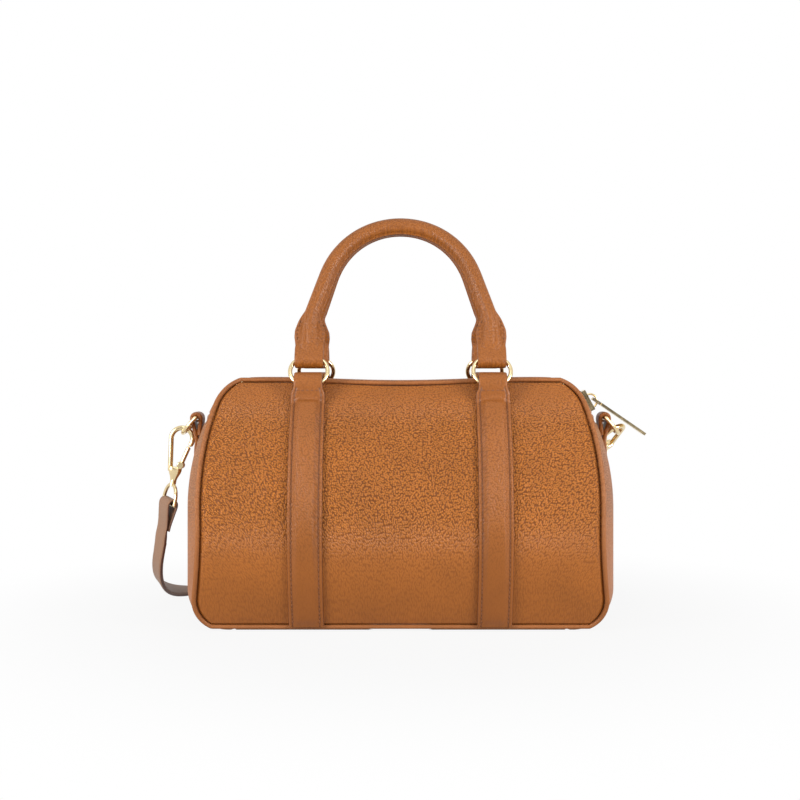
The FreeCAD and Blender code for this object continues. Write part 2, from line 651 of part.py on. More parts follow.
swivel_shape = one(swivel.fuse(eye).removeSplitter())
strap_half = mm("strap_width") / 2
strap_thick = mm("strap_thick")
strap_fold_share = 0.6
fold_low = eye_bar - mm("strap_fold_length")


def strap_end(label, place):
    """The strap's doubled end, folded round the bar of its eye."""
    bore = "sizes.eye_wire / 2 + sizes.gap"
    round_out = bore + " + sizes.strap_thick * %g" % strap_fold_share
    lying = FreeCAD.Rotation(Y, 90)
    fold_at = place.multiply(FreeCAD.Placement(V(-strap_half, 0, eye_bar), lying))
    fold = primitive("Cylinder", label + "_fold", fold_at, Radius=round_out, Height="sizes.strap_width")
    flat_at = place.multiply(at(-strap_half, -strap_thick, fold_low))
    flat = primitive("Box", label + "_flat", flat_at, Length="sizes.strap_width",
                     Width="2 * sizes.strap_thick", Height="sizes.strap_fold_length")
    hole_at = place.multiply(FreeCAD.Placement(V(-2 * strap_half, 0, eye_bar), lying))
    hole = primitive("Cylinder", label + "_hole", hole_at, Radius=bore, Height="2 * sizes.strap_width")
    return less(label, joined(label + "_whole", [fold, flat]), hole)


def hook_place(side):
    """Where a hook hangs: its bow over the D-ring's arc, as far round the arc as the hook has slid."""
    sine, cosine = turned(mm("dee_droop"))
    out = V(side * cosine, 0, -sine)
    if side < 0:
        tilt_sine, tilt_cosine = turned(mm("left_hook_tilt"))
        back_sine, back_cosine = turned(0)
        slide_sine, slide_cosine = turned(0)
    else:
        tilt_sine, tilt_cosine = turned(mm("right_hook_tilt"))
        back_sine, back_cosine = turned(mm("right_hook_back"))
        slide_sine, slide_cosine = turned(mm("right_hook_slide"))
    bend = mm("dee_half")
    reach = mm("dee_reach") - bend + bend * slide_cosine
    arc = V(side * dee_bar.x, 0, dee_bar.z) + out * reach + Y * (bend * slide_sine)
    wire_way = Y * slide_cosine - out * slide_sine
    down = V(-tilt_sine * back_cosine, back_sine, -tilt_cosine * back_cosine)
    slant_sine = abs(down.dot(wire_way))
    slant_cosine = math.sqrt(1 - slant_sine ** 2)
    crossing = (mm("dee_wire") / 2 + hook_wire / 2 * slant_sine) / slant_cosine
    hang = bow - hook_wire / 2 - crossing - gap * (1 + 2 * slant_sine)
    facing = (wire_way - down * down.dot(wire_way)) * -side
    return arc, wire_way, frame(arc + down * hang, facing.cross(down * -1), down * -1)


placed = {}
for side, name in ((-1, "left"), (1, "right")):
    arc, wire_way, place = hook_place(side)
    spin = FreeCAD.Rotation(Z, -mm("left_eye_turn") if side < 0 else mm("right_eye_turn"))
    eye_place = place.multiply(FreeCAD.Placement(V(0, 0, 0), spin))
    made(name + "_hook", hook_shape).Placement = place
    pin_end = V(pin_point.x, -pin_half, pin_point.z)
    pin_at = place.multiply(FreeCAD.Placement(pin_end, FreeCAD.Rotation(X, -90)))
    primitive("Cylinder", name + "_gate_pin", pin_at, Radius="sizes.gate_pin / 2",
              Height="2 * (sizes.gate_rod + sizes.gap)")
    made(name + "_gate", gate_shape).Placement = place
    made(name + "_swivel", swivel_shape).Placement = eye_place
    strap_end("strap_" + name + "_end", eye_place)
    placed[name] = (arc, wire_way, place, eye_place)

# The strap: each drop is a ribbon along a smooth route, and the rest lies behind the bag in flat runs.
STATIONS = 22


def ribbon(start, start_way, start_across, end, end_way, end_across):
    """A flat ribbon from start to end along a cubic route whose end directions are given."""
    reach = (end - start).Length
    sections = []
    line = []
    for step in range(STATIONS + 1):
        t = step / STATIONS
        a, b = (1 - t) ** 2 * (1 + 2 * t), t * (1 - t) ** 2
        c, d = t ** 2 * (3 - 2 * t), t ** 2 * (t - 1)
        point = start * a + start_way * (reach * b) + end * c + end_way * (reach * d)
        da, db = 6 * t * (t - 1), (1 - t) * (1 - 3 * t)
        dc, dd = 6 * t * (1 - t), t * (3 * t - 2)
        way = (start * da + start_way * (reach * db) + end * dc + end_way * (reach * dd)).normalize()
        across = start_across * (1 - t) + end_across * t
        across = (across - way * across.dot(way)).normalize()
        out = way.cross(across)
        corners = []
        for s, u in ((-1, -1), (1, -1), (1, 1), (-1, 1)):
            corners.append(point + across * (s * strap_half) + out * (u * strap_thick / 2))
        sections.append(Part.makePolygon(corners + corners[:1]))
        line.append(point)
    return Part.makeLoft(sections, True, True), line


hank_y = mm("hank_back")
run = mm("hank_run") / 2
hank_pitch = mm("hank_pitch")
lift = strap_thick / 2 + gap
levels = [lift, lift + hank_pitch, lift + 2 * hank_pitch]
turn_radius = hank_pitch / 2
outer, inner = turn_radius + strap_thick / 2, turn_radius - strap_thick / 2


def hank_edges(radius_right, radius_left, offset):
    """One face of the folded strap in the XZ plane, offset up from its centre line."""
    low, mid, high = levels[0] + offset, levels[1] - offset, levels[2] + offset
    first, second = (levels[0] + levels[1]) / 2, (levels[1] + levels[2]) / 2
    points = [V(-run, 0, low), V(run, 0, low), V(run, 0, mid)]
    points += [V(-run, 0, mid), V(-run, 0, high), V(run, 0, high)]
    return [
        Part.makeLine(points[0], points[1]),
        Part.Arc(points[1], V(run + radius_right, 0, first), points[2]).toShape(),
        Part.makeLine(points[2], points[3]),
        Part.Arc(points[3], V(-run - radius_left, 0, second), points[4]).toShape(),
        Part.makeLine(points[4], points[5])], points[0], points[5]


under, under_start, under_end = hank_edges(outer, inner, -strap_thick / 2)
over, over_start, over_end = hank_edges(inner, outer, strap_thick / 2)
outline = under + [Part.makeLine(under_end, over_end)] + over[::-1] + [Part.makeLine(over_start, under_start)]
hank_face = Part.Face(Part.Wire(Part.__sortEdges__(outline)))
hank_face.translate(V(0, hank_y - strap_half, 0))
made("strap_hank", hank_face.extrude(V(0, 2 * strap_half, 0)))
print("least gap of the folded strap to itself: %.2f mm" % (hank_pitch - strap_thick))

left_leave_share = 1.25
right_leave_share = 0.8
arrive_share = 1.25
DROP_STEP = 2


def told(name, point):
    """Prints a place in metres."""
    print("%s: %.4f, %.4f, %.4f" % (name, point.x / 1000, point.y / 1000, point.z / 1000))


for name in ("left", "right"):
    arc, wire_way, place, eye_place = placed[name]
    down = eye_place.Rotation.multVec(Z) * -1
    across = eye_place.Rotation.multVec(X)
    start = eye_place.multVec(V(0, 0, fold_low)) + down * gap
    if name == "left":
        way, finish = V(1, 0, 0), V(-run - gap, hank_y, levels[0])
    else:
        way, finish = V(-1, 0, 0), V(run + gap, hank_y, levels[2])
    if across.dot(Y) < 0:
        across = across * -1
    leave_share = left_leave_share if name == "left" else right_leave_share
    drop, line = ribbon(start, down * leave_share, across, finish, way * arrive_share, Y)
    for point in line[::DROP_STEP]:
        told("strap_%s_drop" % name, point)
    made("strap_%s_drop" % name, drop)

# Zip slider on the right corner and its flat pull, which rests on the tab below it.
slider_turn = mm("corner_turn")
slider_at = on_corner(corner_radius, slider_turn)
slide_sine, slide_cosine = turned(slider_turn)
along = V(slide_cosine, 0, -slide_sine)
out = V(slide_sine, 0, slide_cosine)
slider_frame = frame(slider_at, along, out)
slider_half = mm("slider_width") / 2
slider_long = mm("slider_length")
plate_low = mm("chain_height") - leather + 2 * gap
plate_high = plate_low + mm("slider_plate")
bow_room = corner_radius - math.sqrt(corner_radius ** 2 - slider_long ** 2 / 4)
slider = box(-slider_long / 2, slider_long / 2, -slider_half, slider_half, -bow_room, plate_high)
groove = box(-slider_long, slider_long, -chain_half - gap, chain_half + gap, -far, plate_low)
slider = slider.cut(groove)
bail_wire = mm("bail_wire")
bail_mid = mm("bail_radius") + bail_wire / 2
bail_place = V(slider_long / 2 - bail_mid - bail_wire, 0, plate_high)
bail = Part.makeTorus(bail_mid, bail_wire / 2, bail_place, Y, -180, 180, 360)
bail = bail.common(box(-far, far, -far, far, plate_high - bail_wire / 2, far))
slider = slider.fuse(bail)
slider.Placement = slider_frame
made("zip_slider", one(slider.cut(hoop(-gap))))
pull_thick = mm("pull_thick")
bar_share = 0.36
bar_height = mm("bail_radius") - bar_share * pull_thick - 2 * gap
hinge = slider_frame.multVec(bail_place + V(0, 0, bar_height))
to_tab = dee_bar - hinge
stand_off = tab_fold + pull_thick / 2 + gap
sight_drop = math.degrees(math.atan2(-to_tab.z, to_tab.x))
pull_drop = sight_drop - math.degrees(math.asin(stand_off / to_tab.Length))
drop_sine, drop_cosine = turned(pull_drop)
pull_frame = frame(hinge, V(drop_cosine, 0, -drop_sine), V(drop_sine, 0, drop_cosine))
print("pull hangs %.1f degrees below level" % pull_drop)
arm_in = bail_wire / 2 + gap
arm_far = arm_in + pull_thick
pull_half = mm("pull_width") / 2
plate_start = mm("bail_radius") + bail_wire + gap
neck = "(sizes.bail_radius + sizes.bail_wire + sizes.gap)"
bar_at = pull_frame.multiply(FreeCAD.Placement(V(0, -arm_far, 0), FreeCAD.Rotation(X, -90)))
pull_things = [
    primitive("Box", "pull_plate", pull_frame.multiply(at(plate_start, -pull_half, -pull_thick / 2)),
              Length="sizes.pull_length - " + neck, Width="sizes.pull_width", Height="sizes.pull_thick"),
    primitive("Cylinder", "pull_bar", bar_at, Radius="sizes.pull_thick * %g" % bar_share,
              Height="2 * (sizes.bail_wire / 2 + sizes.gap + sizes.pull_thick)")]
arm_length = neck + " + sizes.pull_thick / 2 + sizes.gap"
for low in (-arm_far, arm_in):
    arm_at = pull_frame.multiply(at(-pull_thick / 2, low, -pull_thick / 2))
    pull_things.append(primitive("Box", "pull_arm", arm_at, Length=arm_length,
                                 Width="sizes.pull_thick", Height="sizes.pull_thick"))
joined("zip_pull", pull_things)

doc.recompute()

NODES = [
    "front_panel", "rear_panel", "front_piping", "rear_piping", "base_panel", "left_end_panel",
    "right_end_panel", "left_corner_facing", "right_corner_facing", "zip_facing_front",
    "zip_facing_rear", "left_corner_tape", "right_corner_tape", "zip_tape_front", "zip_tape_rear",
    "left_corner_teeth", "right_corner_teeth", "zip_teeth_front", "zip_teeth_rear", "zip_end_stops",
    "zip_slider", "zip_pull", "lining", "base_board", "front_left_band", "front_right_band",
    "rear_left_band", "rear_right_band", "front_left_ring", "front_right_ring", "rear_left_ring",
    "rear_right_ring", "front_handle_cover", "front_handle_core", "rear_handle_cover",
    "rear_handle_core", "left_ring_tab", "right_ring_tab", "left_d_ring", "right_d_ring", "left_hook",
    "left_gate", "left_gate_pin", "left_swivel", "right_hook", "right_gate", "right_gate_pin",
    "right_swivel", "strap_left_end", "strap_right_end", "strap_left_drop", "strap_right_drop",
    "strap_hank"]

for thing in doc.Objects:
    if "Invalid" in thing.State or "Error" in thing.State:
        raise ValueError("%s did not build" % thing.Name)
os.makedirs("parts", exist_ok=True)
for label in NODES:
    thing = doc.getObjectsByLabel(label)[0]
    if thing.Shape.isNull() or not thing.Shape.isValid():
        raise ValueError("%s has no valid shape" % label)
    thing.Shape.exportStep("parts/%s.step" % label)


told("lower ring axis, front", lower_axis)
told("upper ring axis, front", upper_axis)
told("D-ring bar, right", dee_bar)
told("zip corner centre", V(corner_mid, 0, corner_mid_height))
told("pull hinge", hinge)
flap_reach = math.sqrt((upper_radius - welt_in - gap) ** 2 - (height - widest) ** 2)
flap_edge = upper_radius - half_depth - flap_reach
told("flap hinge, front", V(0, flap_edge, height))
for name in ("left", "right"):
    arc, wire_way, place, eye_place = placed[name]
    told(name + " D-ring arc", arc)
    told(name + " wire direction", wire_way * 1000)
    told(name + " gate pin", place.multVec(pin_point))
    told(name + " gate axis", place.Rotation.multVec(Y) * 1000)
    told(name + " hook axis", place.Rotation.multVec(Z) * 1000)
    told(name + " hook base", place.multVec(V(0, 0, barrel_top - barrel_length)))
    told(name + " strap bar", eye_place.multVec(V(0, 0, eye_bar)))
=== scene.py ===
"""A leather barrel bag with two rolled handles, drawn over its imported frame.

Sizes are in millimetres until a mesh is made. X runs along the bag, the front faces -Y, Z is up.
"""

import bpy
import numpy as np
from mathutils import Matrix


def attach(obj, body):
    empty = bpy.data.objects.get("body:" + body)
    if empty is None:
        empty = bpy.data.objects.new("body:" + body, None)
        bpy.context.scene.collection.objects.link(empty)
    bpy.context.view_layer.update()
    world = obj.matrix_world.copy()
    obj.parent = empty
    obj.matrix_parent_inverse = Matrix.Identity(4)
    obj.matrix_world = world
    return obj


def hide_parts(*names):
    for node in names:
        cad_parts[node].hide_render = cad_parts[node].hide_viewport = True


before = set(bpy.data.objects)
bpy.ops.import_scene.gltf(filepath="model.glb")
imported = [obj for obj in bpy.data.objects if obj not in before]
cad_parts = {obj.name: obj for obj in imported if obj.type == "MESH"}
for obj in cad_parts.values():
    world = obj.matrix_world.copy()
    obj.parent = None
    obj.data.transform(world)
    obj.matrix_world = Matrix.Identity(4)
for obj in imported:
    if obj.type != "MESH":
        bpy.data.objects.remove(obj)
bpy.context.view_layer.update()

MM = 0.001
HEIGHT = 142.0
WIDEST = 60.0
HALF_DEPTH = 62.5
LOWER_RADIUS = 120.5
UPPER_RADIUS = 104.54
PLAN_AXIS = 19.5
BASE_FLAT, BASE_CORNER = 105.5, 20.0
SIDE_X, SIDE_Z, SIDE_RADIUS = -4.5, 66.1, 130.0
CORNER_X, CORNER_Z, CORNER_RADIUS = 85.6, 114.0, 28.0
CORNER_LOW = 127.15
PANEL_LOW, PANEL_HIGH = -61.0, 92.3
LEATHER = 1.5
BAND_X = 52.6
BAND_HALF = 9.75
FOLD_HALF = 8.3
BAND_START, BAND_STOP, BAND_TAIL, TOP_ROW_Z = -58.9, 73.0, 75.0, 134.6
RING_TAB_LOW, RING_TAB_HIGH, RING_TAB_TAIL = 94.8, 104.0, 107.5
RING_TAB_HALF, RING_TAB_ROW = 6.5, 5.2
MOUTH = 75.0
FLAP_EDGE = 20.4
ZIP_HALF = 5.5
SAG = 1.9
TOP_SLOPE, SLOPE_RUN = 1.22, 1.58
TAPE_HALF, TAPE_INSET, TAPE_THICK = 8.5, 1.75, 0.7
CLOTH_INSET, CLOTH_THICK = 3.0, 0.6
PIPING_RADIUS = 1.25
TUCK_DEEP, TUCK_WIDE, SOFT_WAVE = 2.1, 3.4, 0.22
END_TOP, SILL = 117.0, 121.5
LEFT_TWIST, RIGHT_TWIST = 105.0, 85.0
HANDLE_LEAN = np.radians(15.7)
SHARP_ANGLE = np.radians(40.0)
HANDLE_START, TAB_TOP, TAB_BEND = 4.0, 19.51, 30.0
CROWN_Z, CROWN_RADIUS, CROWN_RISE = 34.8, 46.0, 2.4
HANDLE_FOLD, EAR_THICK, CORE_RADIUS = 3.8, 1.1, 2.6
LOWER_AXIS = np.array([34.3, 139.1])
UPPER_AXIS = np.array([28.4, 151.8])
X, Y, Z = np.eye(3)
FACES = (-1, "front"), (1, "rear")


# ---- camera and strap route

camera_data = bpy.data.cameras.new("camera")
camera_data.lens = 56.25
camera_data.sensor_width = 36.0
camera_data.shift_x = -0.0006
camera_data.shift_y = -0.035
camera = bpy.data.objects.new("camera", camera_data)
camera.location = (0.0, -0.749, 0.145)
camera.rotation_euler = (np.pi / 2, 0.0, 0.0)
bpy.context.collection.objects.link(camera)
bpy.context.scene.camera = camera

STRAP_ROUTE = [
    (-0.1434, 0.0000, 0.0447), (-0.1453, 0.0018, 0.0352), (-0.1469, 0.0067, 0.0271),
    (-0.1478, 0.0141, 0.0204), (-0.1479, 0.0231, 0.0150), (-0.1471, 0.0333, 0.0107),
    (-0.1452, 0.0437, 0.0074), (-0.1421, 0.0539, 0.0050), (-0.1377, 0.0629, 0.0034),
    (-0.1316, 0.0703, 0.0023), (-0.1239, 0.0752, 0.0018), (-0.1143, 0.0770, 0.00165),
    (0.1080, 0.0770, 0.00165), (0.1176, 0.0770, 0.00165), (0.1176, 0.0770, 0.00765),
    (0.1080, 0.0770, 0.00765), (-0.1080, 0.0770, 0.00765), (-0.1176, 0.0770, 0.00765),
    (-0.1176, 0.0770, 0.01365), (-0.1080, 0.0770, 0.01365), (0.1143, 0.0770, 0.0137),
    (0.1211, 0.0770, 0.0150), (0.1257, 0.0770, 0.0187), (0.1285, 0.0768, 0.0244),
    (0.1299, 0.0764, 0.0315), (0.1302, 0.0758, 0.0395), (0.1296, 0.0747, 0.0479),
    (0.1284, 0.0733, 0.0564), (0.1271, 0.0713, 0.0643), (0.1258, 0.0687, 0.0712),
    (0.1250, 0.0654, 0.0766), (0.1249, 0.0614, 0.0801)]


def route_points(route):
    """The points of a smooth curve that has the route as its control points."""
    curve = bpy.data.curves.new("strap_route", "CURVE")
    curve.dimensions = "3D"
    curve.resolution_u = 10
    spline = curve.splines.new("NURBS")
    spline.points.add(len(route) - 1)
    for point, spot in zip(spline.points, route):
        point.co = (*spot, 1.0)
    spline.order_u = 3
    spline.use_endpoint_u = True
    holder = bpy.data.objects.new("strap_route", curve)
    bpy.context.collection.objects.link(holder)
    bpy.context.view_layer.update()
    line = bpy.data.meshes.new_from_object(holder)
    points = np.empty(3 * len(line.vertices))
    line.vertices.foreach_get("co", points)
    bpy.data.objects.remove(holder)
    return points.reshape(-1, 3)


# ---- materials

GRAIN_ENDS = ((0.1, 0.18), (1.0, 0.7))
GRAIN_BETWEEN = ((0.16, 0.3), (0.27, 0.95), (0.46, 1.0), (0.535, 0.4), (0.6, 0.7))
GRAIN_TOP = 0.25
# SMOOTH_TONE: the crease-to-crest tone where the grain fades, below the grain's average, so the smooth
# leather low on the bag and along its top edge gets painted shade.
SMOOTH_TONE = 0.29
# Colour factors of the grain: painted shade in its creases and painted highlights on its crests, in place of
# light on the pebbles.
CREASE_PAINTED_SHADE = np.array([0.44, 0.38, 0.31])
CREST_PAINTED_HIGHLIGHT = np.array([1.42, 1.51, 1.70])
FLOAT, VECTOR = "NodeSocketFloat", "NodeSocketVector"


def feed(tree, target, inputs):
    """Sets a node's inputs. Each is given as a value, or as the output that it is linked to."""
    for entry, value in inputs.items():
        if isinstance(value, bpy.types.NodeSocket):
            tree.links.new(value, target.inputs[entry])
        else:
            target.inputs[entry].default_value = value


def node(tree, kind, inputs=None, **settings):
    """A new node with its settings and its inputs."""
    made = tree.nodes.new(kind)
    for name, value in settings.items():
        setattr(made, name, value)
    feed(tree, made, inputs or {})
    return made


def math(tree, operation, *inputs, **settings):
    """The result of one operation on numbers."""
    return node(tree, "ShaderNodeMath", dict(enumerate(inputs)), operation=operation, **settings).outputs[0]


def mapped(tree, value, low=0.0, high=1.0, start=0.0, stop=1.0, **settings):
    """A number that goes from start to stop as the value goes from low to high."""
    inputs = {"Value": value, "From Min": low, "From Max": high, "To Min": start, "To Max": stop}
    return node(tree, "ShaderNodeMapRange", inputs, **settings).outputs["Result"]


def mix(tree, share, first, second, blend="MIX"):
    """The first colour turning to the second as the share goes to 1."""
    inputs = {0: share, 6: first, 7: second}
    return node(tree, "ShaderNodeMix", inputs, data_type="RGBA", blend_type=blend).outputs[2]


def here(tree):
    """The object's own coordinates."""
    return node(tree, "ShaderNodeTexCoord").outputs["Object"]


def noise(tree, scale, detail, rough=0.5):
    """The outputs of a soft noise over the object's own coordinates."""
    inputs = {"Vector": here(tree), "Scale": scale, "Detail": detail, "Roughness": rough}
    return node(tree, "ShaderNodeTexNoise", inputs).outputs


def bump(tree, height, distance, strength):
    inputs = {"Height": height, "Distance": distance, "Strength": strength}
    return node(tree, "ShaderNodeBump", inputs).outputs["Normal"]


def new_group(name, entries, results):
    """An empty shader node group with the named results, and the outputs of its float entries."""
    tree = bpy.data.node_groups.new(name, "ShaderNodeTree")
    for entry, value in entries:
        socket = tree.interface.new_socket(entry, in_out="INPUT", socket_type=FLOAT)
        socket.default_value = value
    for result, kind in results:
        tree.interface.new_socket(result, in_out="OUTPUT", socket_type=kind)
    return tree, node(tree, "NodeGroupInput").outputs


def pebble_group():
    """Pebbled leather: long rounded cells with creases between them, fine pores and slow mottling.

    The cells are laid out over two lengths: x times a factor that falls with z and grows with y, and a
    share of z less a share of the size of y. They fade where the leather is pulled smooth: low on the
    bag and along its top edge.
    """
    tree, entry = new_group("pebble_grain", [("Scale", 600.0), ("Depth", 0.6)],
                            [("Tone", FLOAT), ("Crease", FLOAT), ("Normal", VECTOR)])
    x, y, z = node(tree, "ShaderNodeSeparateXYZ", {"Vector": here(tree)}).outputs
    fan = mapped(tree, z, 0.03, 0.12, 1.4, 0.9)
    spread = math(tree, "MULTIPLY", x, math(tree, "MULTIPLY_ADD", y, 3.5, fan))
    rise = math(tree, "MULTIPLY_ADD", z, 0.62, math(tree, "MULTIPLY", math(tree, "ABSOLUTE", y), -0.7))
    laid = node(tree, "ShaderNodeCombineXYZ", {"X": spread, "Y": rise}).outputs["Vector"]
    warp = noise(tree, 240.0, 2.0)["Color"]
    shifted = node(tree, "ShaderNodeVectorMath", {0: warp, 1: (0.0012, 0.0012, 0.0012), 2: laid},
                   operation="MULTIPLY_ADD").outputs["Vector"]
    inputs = {"Vector": shifted, "Scale": entry["Scale"], "Randomness": 0.9, "Smoothness": 0.3}
    cells = node(tree, "ShaderNodeTexVoronoi", inputs, feature="SMOOTH_F1", voronoi_dimensions="2D")
    swell = mapped(tree, cells.outputs["Distance"], 0.66, 0.2)
    smooth = node(tree, "ShaderNodeValToRGB", {"Fac": mapped(tree, z, 0.0, GRAIN_TOP)})
    marks = smooth.color_ramp.elements
    for mark, (at, value) in zip(list(marks), GRAIN_ENDS):
        mark.position, mark.color = at, (value, value, value, 1.0)
    for at, value in GRAIN_BETWEEN:
        marks.new(at).color = (value, value, value, 1.0)
    fading = smooth.outputs["Color"]
    height = math(tree, "MULTIPLY_ADD", noise(tree, 3800.0, 2.0)["Fac"], 0.16, swell)
    # Where the grain fades, Crease is held at SMOOTH_TONE, below the grain's average, so the smooth leather
    # is painted darker: painted shade.
    node(tree, "NodeGroupOutput", {
        "Tone": noise(tree, 38.0, 5.0, 0.62)["Fac"],
        "Crease": mapped(tree, fading, 0.0, 1.0, SMOOTH_TONE, swell),
        "Normal": bump(tree, height, 0.0007, math(tree, "MULTIPLY", entry["Depth"], fading))})
    return tree


def weave_group():
    """Woven cloth: two crossed sets of threads and a little slub."""
    tree, entry = new_group("woven_threads", [("Scale", 1500.0), ("Depth", 0.4)],
                            [("Tone", FLOAT), ("Normal", VECTOR)])
    inputs = {"Vector": here(tree), "Scale": entry["Scale"], "Distortion": 0.6, "Detail": 1.0}
    waves = [node(tree, "ShaderNodeTexWave", inputs, bands_direction=direction).outputs["Fac"]
             for direction in ("X", "Y")]
    both = math(tree, "MULTIPLY_ADD", noise(tree, 420.0, 3.0)["Fac"], 0.6, math(tree, "MULTIPLY", *waves))
    node(tree, "NodeGroupOutput", {"Tone": both, "Normal": bump(tree, both, 0.0002, entry["Depth"])})
    return tree


PEBBLE = pebble_group()
WEAVE = weave_group()


def new_material(name, rough):
    """A material with its shader, ready for links."""
    material = bpy.data.materials.new(name)
    material.use_nodes = True
    tree = material.node_tree
    shader = tree.nodes["Principled BSDF"]
    shader.inputs["Roughness"].default_value = rough
    return material, tree, shader


def colour(value):
    return (*value, 1.0)


def ramp_between(tree, value, low, high, base, dark, light):
    """The base colour times a factor that goes from dark to light as the value goes from low to high."""
    base = np.array(base)
    return mix(tree, mapped(tree, value, low, high), colour(base * dark), colour(base * light))


def leather(name, base, edge, scale, depth, rough):
    """Grained leather with painted shade in its creases and painted highlights on its crests, mottled, and
    with the edge colour where the mesh says.
    """
    material, tree, shader = new_material(name, rough)
    grain = node(tree, "ShaderNodeGroup", {"Scale": scale, "Depth": depth}, node_tree=PEBBLE).outputs
    tone = ramp_between(tree, grain["Tone"], 0.3, 0.72, base, 0.9, 1.08)
    # Painted shade in the creases and painted highlights on the crests, by the grain's relief.
    painted_shade_and_highlight = ramp_between(tree, grain["Crease"], 0.0, 1.0, 1.0, 1 + depth * (CREASE_PAINTED_SHADE - 1),
                          1 + depth * (CREST_PAINTED_HIGHLIGHT - 1))
    mottle_and_painted_light = mix(tree, 1.0, tone, painted_shade_and_highlight, "MULTIPLY")
    # The edge colour where the mesh says: edge paint, and painted shade along the faces' seams, the bands'
    # cut edges and the stitch holes.
    edge_paint_and_shade = node(tree, "ShaderNodeAttribute", attribute_name="edge").outputs["Fac"]
    feed(tree, shader, {"Base Color": mix(tree, edge_paint_and_shade, mottle_and_painted_light, colour(edge)),
                        "Roughness": mapped(tree, grain["Crease"], 0.0, 1.0, rough + 0.16, rough - 0.05),
                        "Normal": grain["Normal"], "Specular IOR Level": 0.34})
    return material


def cloth(name, base, scale, depth):
    """Woven cloth or tape."""
    material, tree, shader = new_material(name, 0.82)
    weave = node(tree, "ShaderNodeGroup", {"Scale": scale, "Depth": depth}, node_tree=WEAVE).outputs
    tone = ramp_between(tree, weave["Tone"], 0.1, 1.2, base, 0.72, 1.2)
    feed(tree, shader, {"Base Color": tone, "Normal": weave["Normal"], "Sheen Weight": 0.15})
    return material


def metal(name, base, rough):
    """Plated metal with small changes of colour and polish."""
    material, tree, shader = new_material(name, rough)
    haze = noise(tree, 240.0, 4.0)["Fac"]
    feed(tree, shader, {"Base Color": ramp_between(tree, haze, 0.3, 0.7, base, 0.9, 1.06),
                        "Roughness": mapped(tree, haze, 0.0, 1.0, rough - 0.06, rough + 0.1),
                        "Metallic": 1.0})
    return material


def fibre(name, base, scale):
    """Matt fibre: thread, cord and board."""
    material, tree, shader = new_material(name, 0.75)
    strands = noise(tree, scale, 3.0)["Fac"]
    feed(tree, shader, {"Base Color": ramp_between(tree, strands, 0.3, 0.7, base, 0.75, 1.2),
                        "Normal": bump(tree, strands, 0.0001, 0.4)})
    return material


def straight_rays(tree):
    """1 for rays from the camera or off something shiny, 0 for others."""
    rays = node(tree, "ShaderNodeLightPath").outputs
    return math(tree, "ADD", rays["Is Camera Ray"], rays["Is Glossy Ray"], use_clamp=True)


# Each leather's second colour is its edge colour: on the faces it is painted shade along the seams, on the
# bands edge paint with painted shade along their cut edges and in their stitch holes, elsewhere the colour of
# the cut edges.
BODY = leather("body_leather", (0.388, 0.120, 0.016), (0.085, 0.027, 0.010), 1120.0, 1.0, 0.38)
TRIM = leather("trim_leather", (0.298, 0.091, 0.013), (0.10, 0.032, 0.012), 1150.0, 0.42, 0.34)
PIPING = leather("piping_leather", (0.318, 0.108, 0.027), (0.10, 0.034, 0.012), 1100.0, 0.35, 0.44)
STRAP = leather("strap_leather", (0.250, 0.132, 0.074), (0.09, 0.030, 0.020), 1500.0, 0.12, 0.42)
GOLD = metal("gold_metal", (0.78, 0.62, 0.36), 0.15)
TAPE = cloth("zip_tape", (0.22, 0.085, 0.030), 900.0, 0.5)
LINING = cloth("lining_cloth", (0.30, 0.19, 0.105), 520.0, 0.35)
BOARD = fibre("board", (0.17, 0.11, 0.07), 300.0)
CORD = fibre("core_cord", (0.50, 0.42, 0.30), 700.0)
THREAD = fibre("thread", (0.21, 0.072, 0.022), 2600.0)


# ---- mesh tools

def smooth_step(t):
    t = np.clip(t, 0.0, 1.0)
    return t * t * (3.0 - 2.0 * t)


def unit(v):
    return v / np.maximum(np.linalg.norm(v, axis=-1, keepdims=True), 1e-12)


def run_of(path):
    """The length along a path up to each of its points."""
    return np.concatenate([[0.0], np.cumsum(np.linalg.norm(np.diff(path, axis=0), axis=1))])


def resampled(path, step):
    """The path at equal steps of its own length."""
    run = run_of(path)
    at = np.linspace(0.0, run[-1], max(int(round(run[-1] / step)), 4) + 1)
    return np.stack([np.interp(at, run, path[:, k]) for k in range(path.shape[1])], axis=1)


def eased(path, width):
    """The path with its corners rounded by a running mean over width points each side, ends kept."""
    window = np.ones(2 * width + 1) / (2 * width + 1)
    before = 2 * path[:1] - path[width:0:-1]
    after = 2 * path[-1:] - path[-2:-width - 2:-1]
    long = np.concatenate([before, path, after])
    return np.stack([np.convolve(long[:, k], window, "valid") for k in range(path.shape[1])], axis=1)


def arc(start, stop, count):
    """Points on a circle of radius 1, from one angle to another in degrees."""
    turn = np.radians(np.linspace(start, stop, count))
    return np.stack([np.cos(turn), np.sin(turn)], axis=1)


def full_turn(count):
    return np.linspace(0, 2 * np.pi, count, endpoint=False)


def lift_of(path, wide):
    """The direction away from a strip's face, at each point of its path."""
    return unit(np.cross(np.broadcast_to(wide, path.shape), np.gradient(path, axis=0)))


def grid_faces(index, wrap_rows=False, wrap_columns=False):
    """Four-sided faces over a grid of vertex numbers."""
    if wrap_rows:
        index = np.concatenate([index, index[:1]])
    if wrap_columns:
        index = np.concatenate([index, index[:, :1]], axis=1)
    corners = (index[:-1, :-1], index[1:, :-1], index[1:, 1:], index[:-1, 1:])
    return np.stack([c.ravel() for c in corners], axis=1)


